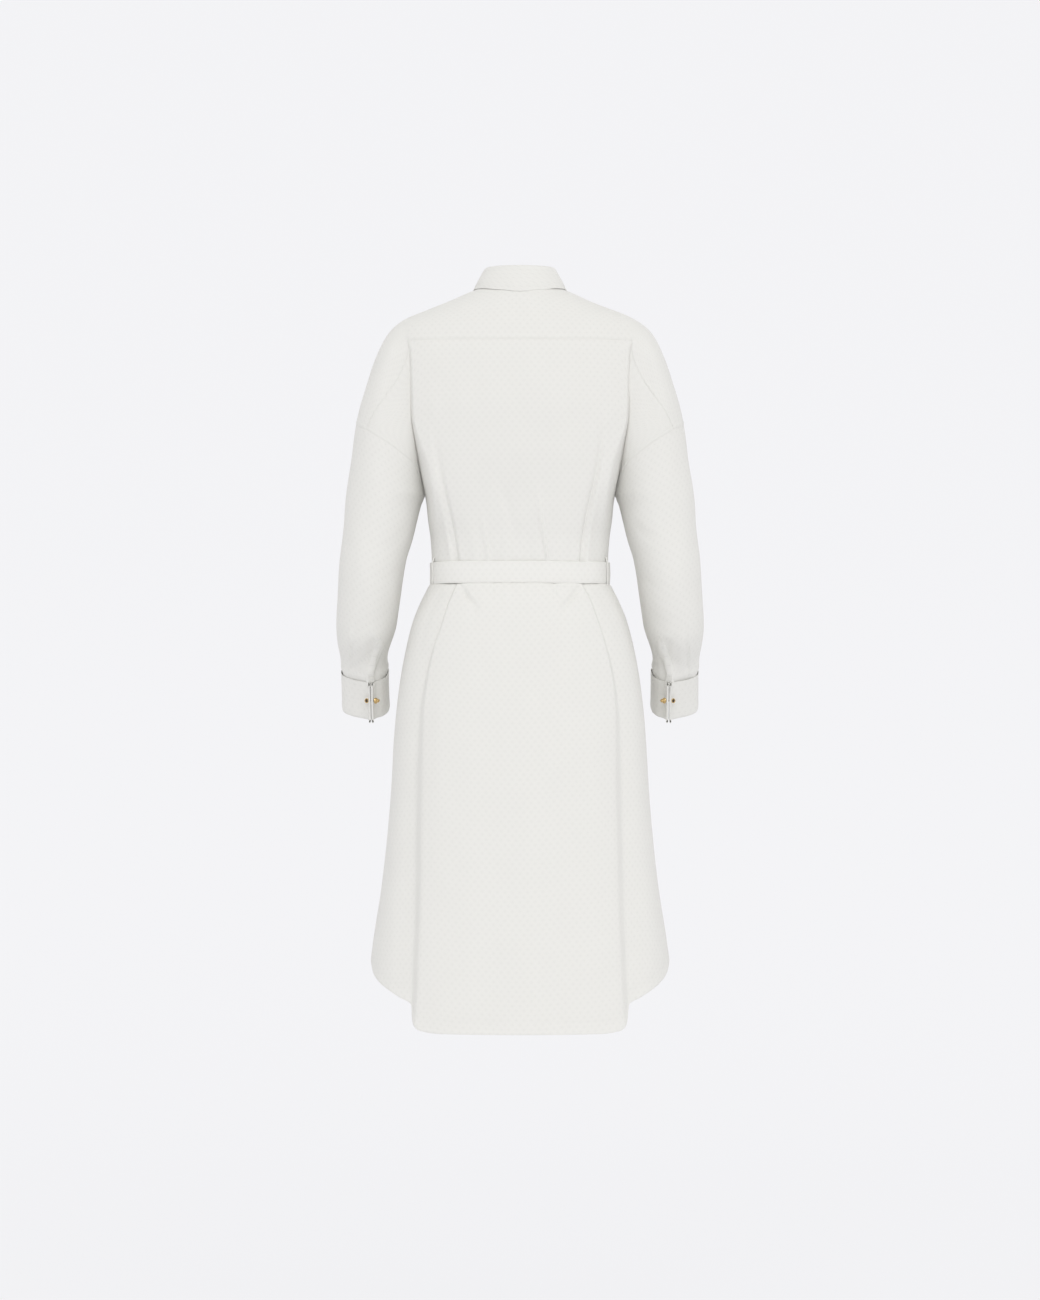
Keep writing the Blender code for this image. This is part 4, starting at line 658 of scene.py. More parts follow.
def to_object(name, points, faces, uv, sharp=38.0):
    """One mesh object from points in millimetres. uv holds a place in millimetres for each face's corners."""
    mesh = bpy.data.meshes.new(name)
    mesh.from_pydata((np.asarray(points) * MM).tolist(), [], [list(face) for face in faces])
    if uv is not None:
        layer = mesh.uv_layers.new(name="cloth")
        layer.data.foreach_set("uv", (np.asarray(uv, float) * MM).reshape(-1))
    mesh.polygons.foreach_set("use_smooth", [True] * len(mesh.polygons))
    mesh.set_sharp_from_angle(angle=math.radians(sharp))
    mesh.update()
    made = bpy.data.objects.new(name, mesh)
    bpy.context.scene.collection.objects.link(made)
    return made


def flip_out(made):
    """Turns a closed mesh's faces outwards."""
    work = bmesh.new()
    work.from_mesh(made.data)
    bmesh.ops.recalc_face_normals(work, faces=work.faces)
    work.to_mesh(made.data)
    work.free()


def solid_object(name, points, faces, sharp, uv=None):
    """A closed form, with its faces turned outwards."""
    made = to_object(name, points, faces, uv, sharp)
    flip_out(made)
    return made


def joined(forms):
    """One array of points and one list of faces from several forms."""
    points, faces, start = [], [], 0
    for some, some_faces in forms:
        points.append(some)
        faces += [[i + start for i in face] for face in some_faces]
        start += len(some)
    return np.concatenate(points), faces


def shell(name, blocks):
    """A closed wall from blocks of outer points, inner points and texture places, in rows and columns."""
    outer, inner, places, quads, start = [], [], [], [], 0
    for over, under, place in blocks:
        rows, columns = over.shape[:2]
        number = start + np.arange(rows * columns).reshape(rows, columns)
        corners = [number[:-1, :-1], number[:-1, 1:], number[1:, 1:], number[1:, :-1]]
        cells = np.stack(corners, -1).reshape(-1, 4)
        corner = over.reshape(-1, 3)[cells - start]
        turn = np.cross(corner[:, 2] - corner[:, 0], corner[:, 3] - corner[:, 1])
        if (turn * (over - under).reshape(-1, 3)[cells[:, 0] - start]).sum() < 0:
            cells = cells[:, ::-1]
        outer.append(over.reshape(-1, 3))
        inner.append(under.reshape(-1, 3))
        places.append(place.reshape(-1, 2))
        quads.append(cells)
        start += rows * columns
    outer, inner, places, quads = (np.concatenate(part) for part in (outer, inner, places, quads))
    # blocks are welded where they meet, and cells that this shuts are left out
    _, first, same = np.unique(np.round(outer, 2), axis=0, return_index=True, return_inverse=True)
    welded = same.reshape(-1)[quads]
    whole = np.array([len(set(quad)) == 4 for quad in welded.tolist()])
    welded, quads = welded[whole], quads[whole]
    outer, inner, count = outer[first], inner[first], len(first)
    corner_places = places[quads]
    # the edges that belong to one cell only make the rim
    ends = np.stack([welded, np.roll(welded, -1, axis=1)], -1).reshape(-1, 2)
    end_places = np.stack([corner_places, np.roll(corner_places, -1, axis=1)], 2).reshape(-1, 2, 2)
    key = np.sort(ends, axis=1)
    key = key[:, 0].astype(np.int64) * count + key[:, 1]
    _, where, times = np.unique(key, return_inverse=True, return_counts=True)
    rim = times[where.reshape(-1)] == 1
    a, b = ends[rim, 0], ends[rim, 1]
    rim_faces = np.stack([b, a, a + count, b + count], -1)
    rim_places = end_places[rim][:, [1, 0, 0, 1]]
    faces = np.concatenate([welded, welded[:, ::-1] + count, rim_faces])
    uv = np.concatenate([corner_places, corner_places[:, ::-1], rim_places])
    return to_object(name, np.concatenate([outer, inner]), faces.tolist(), uv.reshape(-1, 2))


def ring_faces(rings, around):
    """Faces between each two rings of points, ring by ring."""
    faces = []
    for i in range(rings - 1):
        for k in range(around):
            n = (k + 1) % around
            faces.append((i * around + k, i * around + n, (i + 1) * around + n, (i + 1) * around + k))
    return faces


def tube(path, radius, sides=8):
    """Points and faces of a round tube on a path, for thread."""
    path = np.asarray(path, float)
    along = unit(np.gradient(path, axis=0))
    across = unit(np.cross(along, np.array([0.3, 0.5, 0.8])))
    up = np.cross(along, across)
    turn = np.linspace(0, 2 * math.pi, sides, endpoint=False)
    radius = np.broadcast_to(np.asarray(radius, float), len(path))
    spokes = np.cos(turn)[None, :, None] * across[:, None] + np.sin(turn)[None, :, None] * up[:, None]
    points = (path[:, None] + radius[:, None, None] * spokes).reshape(-1, 3)
    last = (len(path) - 1) * sides
    ends = [tuple(range(sides))[::-1], tuple(last + k for k in range(sides))]
    return points, ring_faces(len(path), sides) + ends


STITCHES = {}
STITCH_LENGTH, STITCH_PITCH, STITCH_WIDTH = 1.9, 2.6, 0.36
ARMHOLE_STITCHES, FALL_STITCHES = 6.4, 7.0  # how far these lines of stitches run from the seam or the edge


def sew(group, path, out, rise=0.12):
    """Adds a line of stitches to a group: path and outward directions, with a stitch at every pitch."""
    path, out = np.asarray(path, float), np.asarray(out, float)
    lengths = arc(path, 0)
    keep = np.concatenate([[True], np.diff(lengths) > 1e-6])
    path, out, lengths = path[keep], out[keep], lengths[keep]
    middle = np.arange(STITCH_PITCH / 2, lengths[-1], STITCH_PITCH)
    if not len(middle):
        return

    def at(places, values):
        return np.stack([np.interp(places, lengths, values[:, k]) for k in range(3)], -1)

    normal = unit(at(middle, out))
    a, b = at(middle - STITCH_LENGTH / 2, path), at(middle + STITCH_LENGTH / 2, path)
    across = np.cross(normal, unit(b - a))
    centre = (a + b) / 2 + normal * rise
    half, sunk = STITCH_WIDTH / 2, normal * 0.05
    ring = [centre + across * half, centre + normal * half, centre - across * half, centre - normal * half]
    STITCHES.setdefault(group, []).append(np.stack([a - sunk, *ring, b - sunk], 1).reshape(-1, 3))


def sew_on(group, side, s, z, lift, creased=True):
    """A line of stitches on the cloth along s and z, lifted off the surface and its creases."""
    points, out = surface(side, s, z), normals(side, s, z)
    if creased:
        lift = cloth_relief(side, s, points) + lift
    sew(group, points + out * np.broadcast_to(lift, s.shape)[:, None], out)


def make_stitches():
    """One object for each group of stitches. A stitch has two ends and a ring of four points between them."""
    made = []
    shape = np.array([(0, 1, 2), (0, 2, 3), (0, 3, 4), (0, 4, 1), (5, 2, 1), (5, 3, 2), (5, 4, 3), (5, 1, 4)])
    for group, parts in STITCHES.items():
        points = np.concatenate(parts)
        faces = (np.arange(0, len(points), 6)[:, None, None] + shape[None]).reshape(-1, 3)
        made.append(to_object("stitches_" + group, points, faces.tolist(), None, 180.0))
    return made


# ---------------------------------------------------------------- the body's panels

UNDERLAP, OVERLAP = -0.26, 0.1  # lift of a seam's lower and upper layer
EDGE = 7.0  # how far from the seam they rise
UPPER_ROWS, SKIRT_ROWS = 62, 79
LEAD_DROPS = (0, 2.5, 5.0, 6.5, 8.5, 11.0)  # the first rows, close together under a panel's upper edge
HEM_RISES = (5.0, 3.0, 1.5, 0.5, 0.0)  # the last rows, close together over the hem
# heights between which the rows at the waist are spread, and how many each part takes
BELT_ZONE, WAIST_COUNTS = (-297.0, -391.0, -419.0, -427.0, -500.0), (32, 4, 7, 31)


def upper_rows(top, bottom, share=1.0):
    """Heights of the rows from a panel's upper edge down to the underarm or the sleeve seam."""
    lead = [top - drop * share for drop in LEAD_DROPS]
    count = UPPER_ROWS - len(LEAD_DROPS)
    return lead + [mix(lead[-1], bottom, k / count) for k in range(1, count + 1)]


def rows_down(top, hem):
    """Heights of the rows of a torso block, rows first."""
    waist = between([np.full_like(top, z) for z in BELT_ZONE], WAIST_COUNTS)[1:]
    skirt = [mix(BELT_ZONE[-1], hem + 8.0, k / SKIRT_ROWS) for k in range(1, SKIRT_ROWS + 1)]
    return np.array(upper_rows(top, UNDERARM) + waist + skirt + [hem + rise for rise in HEM_RISES])


def arm_rows(top, bottom):
    """Rows over the upper arm, which meet the torso block's upper rows."""
    gap = np.maximum(top - bottom, 0.5)
    return np.array(upper_rows(top, bottom, np.minimum(1.0, gap / 40.0)))


def torso_columns(side, front, start, counts):
    """A function of z that gives t of each column, following the panel's tuck and fold."""
    step, tuck = FRONT_FOLD, FRONT_TUCK
    if not front:
        step = BACK_FOLD_LEFT if side == LEFT else BACK_FOLD_RIGHT
        tuck = BACK_TUCK_LEFT if side == LEFT else BACK_TUCK_RIGHT

    def columns(z):
        tuck_x, step_x = FOLD_X[tuck](z), FOLD_X[step](z)
        stops = (start, tuck_x - 4.5, tuck_x + 4.5, step_x - 7.0, step_x - 2.6, step_x + 3.2, step_x + 9.0)
        knots = [side_share(x, z) for x in stops] + [np.ones_like(z)]
        return np.stack(between(knots, counts), -1)

    return columns


def torso_block(side, front, start, top_line, counts):
    """s and z of a torso block on a fine grid."""
    columns = torso_columns(side, front, start, counts)
    hem_t = columns(np.array([-1020.0]))[0]
    top_t = columns(np.array([-150.0]))[0]
    top_s = 2 - top_t * VALLEY if front else top_t * VALLEY
    z = rows_down(top_line(top_s), HEM_LINES[front](hem_t))
    t = np.stack([columns(z[:, j])[:, j] for j in range(z.shape[1])], -1)
    t[:, 1:] = mix(t, top_t[None, :], ease(UNDERARM, -180.0, z))[:, 1:]
    t[:, -1] = 1.0
    return (2 - t * VALLEY if front else t * VALLEY), z


def side_dip(s, z):
    """The body's panels turn in a little where they meet at the side seam."""
    away = (VALLEY - np.minimum(s, 2 - s)) * BODY_ROUND
    return np.where((z < UNDERARM + 1e-6) & ~is_arm(s), -0.5 * (1 - ease(0.0, 3.2, away)), 0.0)


def over_sleeve(s, z):
    """A body panel's last few millimetres lie over the top of the sleeve."""
    above = z - SLEEVE_LINE(s)
    ridge = 0.5 * np.exp(-((above - 2.6) / 2.4) ** 2)
    return np.where(is_arm(s), OVERLAP * (1 - ease(5.0, EDGE + 4.0, above)) + ridge, 0.0)


def hem_lift(front, s, z):
    """The narrow turned hem, a little thicker than the cloth above it."""
    t = (2 - s) / VALLEY if front else s / VALLEY
    height = z - HEM_LINES[front](np.clip(t, 0, 1))
    fold = 0.3 * (1 - ease(6.0, 7.2, height)) - 0.45 * (1 - ease(0.0, 1.2, height))
    ripple = 0.25 * np.exp(-((height - 9.0) / 3.0) ** 2) * np.sin(0.21 * (s * BODY_ROUND))
    return np.where(is_arm(s), 0.0, fold + ripple)


def laid(side, s, z, lift):
    """Outer and inner points of cloth on the surface, and the outward directions."""
    points, out = surface(side, s, z), normals(side, s, z)
    lift = lift + cloth_relief(side, s, points)
    return points + out * lift[..., None], points + out * (lift - CLOTH)[..., None], out


def cloth_places(outer, turn_row, u_start=0.0, way=1):
    """Texture places: distance along the rows from the first column, and down the columns from one row."""
    v = arc(outer, 0)
    v = v - v[turn_row][None, :]
    return np.stack([way * (arc(outer, 1) + u_start), -v], -1)


BACK_COUNTS = (16, 5, 18, 3, 8, 4, 32)
FRONT_COUNTS = (13, 5, 18, 3, 8, 4, 34)


def back_under_yoke(s):
    return YOKE_LINE(s) + 5.0


def back_lift(s, z):
    yoke = YOKE_LINE(np.minimum(s, YOKE_CORNER))
    lift = UNDERLAP * (1 - ease(0.0, EDGE, yoke - z))
    return lift + side_dip(s, z) + over_sleeve(s, z) + hem_lift(False, s, z)


def over_arm(side, s, top, lift, edge, way):
    """A body panel's block over the upper arm. edge holds the texture places along its join to the torso."""
    z = arm_rows(top, SLEEVE_LINE(s))
    grid = np.broadcast_to(s, z.shape)
    outer, inner, _ = laid(side, grid, z, lift(grid, z))
    u = way * arc(outer, 1) + edge[:, :1]
    sew_above("armhole", side, s[3:], SLEEVE_LINE, ARMHOLE_STITCHES)
    return outer, inner, np.stack([u, np.broadcast_to(edge[:, 1:], u.shape)], -1)


def sew_hem(outer, out):
    """Stitches along the top of the turned hem, between two of a block's last rows."""
    sew("hem", outer[-8] * 0.5 + outer[-7] * 0.5, out[-7])


def back_panel():
    blocks = []
    for side in (LEFT, RIGHT):
        s, z = torso_block(side, False, 0.0, back_under_yoke, BACK_COUNTS)
        outer, inner, out = laid(side, s, z, back_lift(s, z))
        place = cloth_places(outer, UPPER_ROWS - 1, 0.0, side)
        blocks.append((outer, inner, place))
        sew_hem(outer, out)
        arm = np.array(between([VALLEY, 0.64, YOKE_CORNER - 0.004], (12, 26)))
        blocks.append(over_arm(side, arm, back_under_yoke(arm), back_lift, place[:UPPER_ROWS, -1], side))
    return shell("back_panel_cloth", blocks)


def sew_above(group, side, s, line, rise):
    """A line of stitches a little above a seam that follows line(s)."""
    sew_on(group, side, s, line(s) + rise, OVERLAP + 0.05)


def front_lift(s, z):
    lift = side_dip(s, z) + over_sleeve(s, z) + hem_lift(True, s, z)
    yoke_edge = UNDERLAP * (1 - ease(0.008, 0.03, s - SHOULDER_SEAM))
    return lift + np.where(is_arm(s) | (s > 2 - VALLEY), yoke_edge, 0.0)


def front_panel(name, side):
    s, z = torso_block(side, True, FRONT_START - 4.0, front_top, FRONT_COUNTS)
    outer, inner, out = laid(side, s, z, front_lift(s, z))
    place = cloth_places(outer, UPPER_ROWS - 1, 11.0, -side)
    sew_hem(outer, out)
    arm = np.array(between([2 - VALLEY, 1.36, SHOULDER_SEAM - 0.012], (12, 30)))
    sleeve_block = over_arm(side, arm, front_top(arm), front_lift, place[:UPPER_ROWS, -1], -side)
    return shell(name, [(outer, inner, place), sleeve_block])


def yoke_lift(s, z):
    low = YOKE_LINE(np.minimum(s, YOKE_CORNER))
    edge = np.where(s < YOKE_CORNER, z - low, 99.0)
    seam = OVERLAP * (1 - ease(4.0, EDGE + 3.0, edge))
    front = OVERLAP * (1 - ease(0.02, 0.05, SHOULDER_SEAM - s)) * (s > 0.9)
    crease = 1 - ease(0.0, 0.05, np.abs(s - VALLEY))
    return np.maximum(np.maximum(seam, front), over_sleeve(s, z)) * (1 - 0.6 * crease)


def back_yoke():
    blocks = []
    knots, counts = [0.0, 0.45, 0.57, 0.63, YOKE_CORNER, 1.0, SHOULDER_SEAM], (44, 16, 14, 34, 20, 18)
    to_edge = np.array([0.055, 0.04, 0.028, 0.018, 0.01, 0.004, 0.0])
    run = np.concatenate([np.linspace(0, 0.93, 46), 1 - to_edge])
    for side in (LEFT, RIGHT):
        s = np.array(between(knots, counts))
        top = np.where(s > 1, front_top(np.maximum(s, 1.0001)), 0.0)
        bottom = np.where(s < YOKE_CORNER, YOKE_LINE(s), SLEEVE_LINE(s))
        z = mix(top[None, :], bottom[None, :], run[:, None])
        grid = np.broadcast_to(s, z.shape)
        outer, inner, _ = laid(side, grid, z, yoke_lift(grid, z))
        blocks.append((outer, inner, cloth_places(outer, -1, 0.0, side)))
        sew_above("yoke", side, s[s < YOKE_CORNER], YOKE_LINE, 1.6)
        sew_above("armhole", side, s[s >= YOKE_CORNER], SLEEVE_LINE, ARMHOLE_STITCHES)
        front = SHOULDER_SEAM - 0.012
        upper = float(front_top(np.array([front]))[0]) - 2
        height = np.linspace(upper, float(SLEEVE_LINE(front)) + 2, 90)
        sew_on("yoke", side, np.full_like(height, front), height, OVERLAP + 0.1, creased=False)
    return shell("back_yoke_cloth", blocks)


# ---------------------------------------------------------------- button bands


def band_heights():
    top = float(front_top(np.array([2 - VALLEY * float(side_share(FRONT_START, -60.0))]))[0])
    hem = float(HEM_LINES[True](0.0))
    knots = [top - 3.0, UNDERARM, BELT_TOP, BELT_BOTTOM, hem + 6.0, hem]
    return np.array(between(knots, (70, 34, 8, 160, 5)))


def band_face(x, z, lift, creases=True):
    """Points and outward directions at signed x on the front, near its middle."""
    s = 2 - VALLEY * side_share(np.abs(x), z)
    points, out = np.empty(x.shape + (3,)), np.empty(x.shape + (3,))
    lift = np.array(np.broadcast_to(lift, x.shape))
    for side, mask in ((LEFT, x >= 0), (RIGHT, x < 0)):
        if mask.any():
            points[mask], out[mask] = surface(side, s[mask], z[mask]), normals(side, s[mask], z[mask])
            if creases:
                lift[mask] += 0.7 * cloth_relief(side, s[mask], points[mask])
    out[..., 0] *= ease(0.0, 3.0, np.abs(x))
    return points + out * lift[..., None], out


def placket(name, over):
    """A button band down the front. The one that lies over has stitches along both edges."""
    heights = band_heights()
    edge = PLACKET_WIDTH / 2
    if over:
        xs = np.concatenate([[-edge, -14.4, -13.2, -11.4, -9.0], np.linspace(-6, 12, 11), [13.2, 14.4, edge]])
        rise = np.interp(xs, (-15, -13.5, -9, 0, 12, 14.4, 15), (0.75, 1.15, 1.7, 1.8, 1.75, 1.6, 1.25))
    else:
        xs = np.concatenate([[-edge, -13.5], np.linspace(-11, 11, 11), [13.5, edge]])
        rise = np.interp(xs, (-15, 0, 12, 15), (-0.2, -0.1, 0.1, 0.5))
    x, z = np.meshgrid(xs, heights)
    pucker = 0.12 * np.sin(0.31 * z + 0.9 * np.sin(0.05 * z)) * np.exp(-((np.abs(x) - 12.5) / 2.0) ** 2)
    outer, out = band_face(x, z, rise[None, :] + pucker)
    inner, _ = band_face(x, z, rise[None, :] + pucker - CLOTH)
    if over:
        for line in (-12.6, 12.6):
            sew("band", *band_face(np.full_like(heights, line), heights, np.interp(line, xs, rise) + 0.08))
        sew("band", outer[-4], out[-4])
    return shell(name, [(outer, inner, np.stack([x, z - z[0, 0]], -1))])


# ---------------------------------------------------------------- sleeves and their bands


def sleeve_lift(s, z):
    lift = UNDERLAP * (1 - ease(0.0, EDGE, SLEEVE_LINE(s) - z))
    off_slit = 1 - 0.8 * np.exp(-((s - SLIT) / 0.05) ** 2)
    over_cuff = 1.3 * np.exp(-((z - CUFF_TOP - 7.0) / 5.0) ** 2) * off_slit
    return lift + over_cuff - 0.25 * (1 - ease(0.0, 5.0, z - CUFF_TOP))


def sleeve(name, side):
    knots = [VALLEY + 1e-6, 0.63, 0.7, SLIT - STRIP, SLIT + STRIP, 0.9, 1.1, 1.37, 2 - VALLEY - 1e-6]
    s = np.array(between(knots, (7, 10, 6, 8, 18, 16, 24, 7)))
    top = SLEEVE_LINE(s) + 5.0 * ease(VALLEY, 0.66, s) * ease(2 - VALLEY, 1.34, s)
    levels = [np.full_like(s, z) for z in (-330.0, -480.0, CUFF_TOP - 1.5)]
    z = np.array(between([top, top - 10.0] + levels, (5, 26, 44, 32)))
    s = np.broadcast_to(s, z.shape)
    outer, inner, _ = laid(side, s, z, sleeve_lift(s, z))
    for edge in (outer, inner):
        edge[:, 0] = edge[:, -1] = (edge[:, 0] + edge[:, -1]) / 2
    place = cloth_places(outer, 0, 0.0, side)
    middle = int(np.argmin(np.abs(s[0] - 1)))
    place[..., 0] -= place[:, middle:middle + 1, 0]
    return shell(name, [(outer, inner, place)])


def sleeve_placket(name, side):
    """The band over the slit, with a short pointed top and stitches round it."""
    low, high = CUFF_TOP - 1.0, -482.0
    s, z = np.meshgrid(
        between([SLIT - STRIP, SLIT, SLIT + STRIP], (6, 6)),
        between([high, high - 14.0, low], (8, 30)),
    )
    s = SLIT + (s - SLIT) * (1 - ease(high - 11.0, high, z) * 0.96)
    away = np.abs(s - SLIT) / STRIP
    rise = 1.0 - 0.35 * ease(0.75, 1.0, away) + 0.12 * np.exp(-((away - 0.55) / 0.2) ** 2)
    outer, inner, _ = laid(side, s, z, rise)
    height = np.linspace(high - 11.0, low + 1.0, 60)
    for part in (-0.72, 0.72):
        sew_on("sleeve", side, np.full_like(height, SLIT + part * STRIP), height, 1.0)
    return shell(name, [(outer, inner, np.stack([(s - SLIT) * SLEEVE_ROUND, z - high], -1))])


def cuff_points(side, share, height, outwards):
    """Points of a cuff at a share of its run, a height below its top and a distance off its middle line."""
    small = 1e-3
    x, y = cuff_run(share)
    ax, ay = cuff_run(np.minimum(share + small, 1.0))
    bx, by = cuff_run(np.maximum(share - small, 0.0))
    length = np.hypot(ax - bx, ay - by)
    x, y = x + (ay - by) / length * -outwards, y + (ax - bx) / length * outwards
    z = CUFF_TOP - height
    middle = (INNER(z) + OUTER(z)) / 2
    slope = float(arm_slant(CUFF_TOP))
    return np.stack([side * (middle + x), ARM_Y(z) + y, z - slope * y], -1)


def cuff_profile():
    """Distance out and height below the cuff's top, down the inner face of its fold and up the outer one."""
    bottom = CUFF_HEIGHT
    return np.array([
        (-0.35, 0.3), (-0.35, bottom * 0.3), (-0.4, bottom * 0.7), (-0.45, bottom - 4.0),
        (-0.35, bottom - 1.6), (0.15, bottom - 0.5), (0.75, bottom - 0.2), (1.3, bottom - 0.9),
        (1.55, bottom - 2.6), (1.6, bottom - 6.0), (1.3, bottom * 0.75),
        (1.15, bottom * 0.5), (1.05, bottom * 0.25),
        (1.1, 7.0), (1.2, 4.0), (1.25, 1.6), (1.25, 0.6),
    ])


def cuff_wave(side, share, height):
    """Low waves round the cuff."""
    return 0.3 * np.sin(share * 21.0 + 0.05 * height + side)


def cuff_ripple(share, height):
    """Ripples that fade down from the cuff's upper edge."""
    return 0.35 * np.sin(share * 47.0 + 1.0) * (1 - ease(0.0, 22.0, height))


def sew_cuff(side, share, height, away, lift):
    path = cuff_points(side, share, height, away)
    sew("cuff", path, cuff_points(side, share, height, lift + 1.0) - path)


def cuff(name, side):
    """The cuff's cloth goes down inside, turns up at the lower edge and ends free over its own seam."""
    shares = np.array(between([0.0, FIN_SHARE, 0.16, 0.84, 1 - FIN_SHARE, 1.0], (10, 14, 84, 14, 10)))
    profile = cuff_profile()
    run = arc(profile, 0)
    fine = np.unique(np.concatenate([run, np.linspace(0, run[-1], 52)]))
    away, height = (Smooth(run, profile[:, k])(fine) for k in (0, 1))
    tangent = unit(np.stack([np.gradient(away, fine), np.gradient(height, fine)], -1))
    # the cloth's other face lies to the inner side of the loop
    under_away, under_height = away + tangent[:, 1] * -CLOTH * 0.8, height + tangent[:, 0] * CLOTH * 0.8
    share, away = np.meshgrid(shares, away)
    height, under_away, under_height = (
        np.broadcast_to(values[:, None], share.shape) for values in (height, under_away, under_height)
    )
    relief = cuff_wave(side, share, height)
    ripple = cuff_ripple(share, height) * (away > 0.9)
    # the pinched ends are thick with the turned-in edges, and sewn shut
    near_end = np.minimum(share, 1 - share)
    above_fold = 1 - ease(CUFF_HEIGHT - 5.0, CUFF_HEIGHT - 1.5, height)
    inside = away < 0.1
    face = np.where(inside, mix(away, -1.25, (1 - ease(0.0, FIN_SHARE, near_end)) * above_fold), away)
    sewn = (1 - ease(0.0, 0.014, near_end)) * above_fold
    under = mix(under_away - away + face, np.where(inside, -0.02, 0.02), sewn)
    outer = cuff_points(side, share, height, face + relief + ripple)
    inner = cuff_points(side, share, under_height, under + relief + ripple)
    place = np.stack([arc(outer, 1), np.broadcast_to(-fine[:, None], share.shape)], -1)
    line, level, lift = np.linspace(0.006, 0.994, 260), 3.4, 1.32
    sew_cuff(side, line, level, lift + cuff_wave(side, line, level) + cuff_ripple(line, level), lift)
    level = np.linspace(3.4, CUFF_HEIGHT - 2.0, 40)
    lift = np.interp(level, (3.4, 14, CUFF_HEIGHT), (1.35, 1.2, 1.6))
    for end in (0.006, 0.994):
        line = np.full_like(level, end)
        sew_cuff(side, line, level, lift + cuff_wave(side, line, 0.0), lift)
    return shell(name, [(outer, inner, place)])


# ---------------------------------------------------------------- collar


def neck_curve():
    """x, y and z of the neck seam from centre back to centre front, each a function of its share."""
    s = np.concatenate([np.linspace(0, 1, 120), np.linspace(1.0005, 2, 240)])
    z = np.where(s > 1, front_top(np.maximum(s, 1.0001)), 0.0)
    points = surface(LEFT, s, z)
    lengths = arc(points, 0)
    return [Smooth(lengths / lengths[-1], points[:, k]) for k in range(3)]


def neck_at(share):
    """Points of the neck seam. share is 0 at centre back, 1 at centre front, below 0 on the right."""
    share = np.asarray(share, float)
    size = np.abs(share)
    way = np.where(share < 0, -1.0, 1.0) * np.where(size <= 1, 1.0, -1.0)
    size = np.minimum(size, 2 - size)
    return np.stack([way * NECK[0](size), NECK[1](size), NECK[2](size)], -1)


def stand_at(share, height, out):
    """Points of the collar stand: height up it from the seam, and distance out from its face."""
    foot = neck_at(share)
    height, out = np.broadcast_to(height, foot.shape[:-1]), np.broadcast_to(out, foot.shape[:-1])
    away = foot - (0.0, NECK_Y, 0.0)
    away[..., 2] = 0.0
    away = unit(away)
    lean = mix(STAND_LEAN, STAND_SIDE_LEAN, away[..., 0] ** 2)
    point = foot + away * (out - lean * height / STAND_HEIGHT)[..., None]
    point[..., 2] += height
    return point


FALL_END = 0.965
LAP_END = 1.07  # share at which the stand's ends stop, each past the middle


def collar_stand():
    shares = np.linspace(-LAP_END, LAP_END, 221)
    heights = np.array([-1.5, 0.2, 1.0, 4, 8, 12, 16, 20, 23.5, 26.0])
    share, height = np.meshgrid(shares, heights)
    over = (WALL + SEAM) * np.where(share < 0, 0.5, -0.5) * ease(0.86, 0.97, np.abs(share))
    roll = 0.35 * ease(3.0, 0.0, height)
    cut = np.where(np.abs(share) > FALL_END, ease(FALL_END, LAP_END, np.abs(share)), 0.0) ** 2 * 7.0
    height = height - cut * height / heights[-1]
    outer, inner = stand_at(share, height, over + roll), stand_at(share, height, over - 1.1 + roll)
    path = stand_at(shares, 2.2, over[0] + 0.15)
    sew("collar", path, path - stand_at(shares, 2.2, over[0] - 1.0))
    return shell("collar_stand_cloth", [(outer, inner, np.stack([arc(outer, 1), height], -1))])


def cloth_height(x, y):
    """Height of the dress where it passes under the plan point x, y near the neck."""
    run = np.linspace(0, 1, 81) if y >= 0 else np.linspace(2, 1.0001, 81)
    high, low = 0.0, -190.0
    for _ in range(30):
        middle = (high + low) / 2
        xs, ys = base_section(run, np.full_like(run, middle))
        if x > xs[-1] or abs(float(np.interp(x, xs, np.abs(ys)))) < abs(y):
            high = middle
        else:
            low = middle
    return (high + low) / 2


def fall_edge():
    """x, y and z of the collar's free edge on the wearer's left, each a function of the share of the neck."""
    coarse = np.linspace(0, FALL_END, 25)
    size = coarse / FALL_END
    x, y = (column(FALL_EDGE, name, "share")(size) for name in "xy")
    z = np.array([cloth_height(abs(at_x), at_y) for at_x, at_y in zip(x, y)])
    z = z + mix(1.2, FALL_OVER - 1.8, ease(0.35, 0.6, size))
    return [Smooth(coarse, values) for values in (x, y, z)]


def fall_face(shares):
    """Points of the collar's fall, in rows from inside the stand over its fold and down to the free edge."""
    away = np.abs(shares)
    edge_x, edge_y, edge_z = fall_edge()
    free = np.stack([edge_x(away) * np.sign(shares), edge_y(away), edge_z(away)], -1)
    free[:, 2] += 0.5 * np.sin(away * 9.0 + 0.4) * ease(0.1, 0.5, away)
    fold = ((-5.0, -0.6), (-1.6, -0.5), (0.5, 0.5), (0.6, 2.2), (-1.2, 3.9))  # height and distance out
    rolled = [stand_at(shares, STAND_HEIGHT + 1.0 + rise, out) for rise, out in fold]
    bow = stand_at(shares, STAND_HEIGHT, 1.0) - stand_at(shares, STAND_HEIGHT, 0.0)
    start = rolled[-1]
    for part in (0.2, 0.4, 0.6, 0.8, 1.0):
        rolled.append(mix(start, free, part) + bow * 1.5 * math.sin(math.pi * part))
    rows = np.array(rolled)
    run = arc(rows, 0)
    fine = np.concatenate([
        np.linspace(0, 0.3, 13), np.linspace(0.3, 0.94, 16)[1:], [0.965, 0.982, 0.993, 1.0],
    ])
    face = np.empty((len(fine), len(shares), 3))
    for j in range(len(shares)):
        level = run[:, j] / run[-1, j]
        for k in range(3):
            face[:, j, k] = Smooth(level, rows[:, j, k])(fine)
    return face, fine


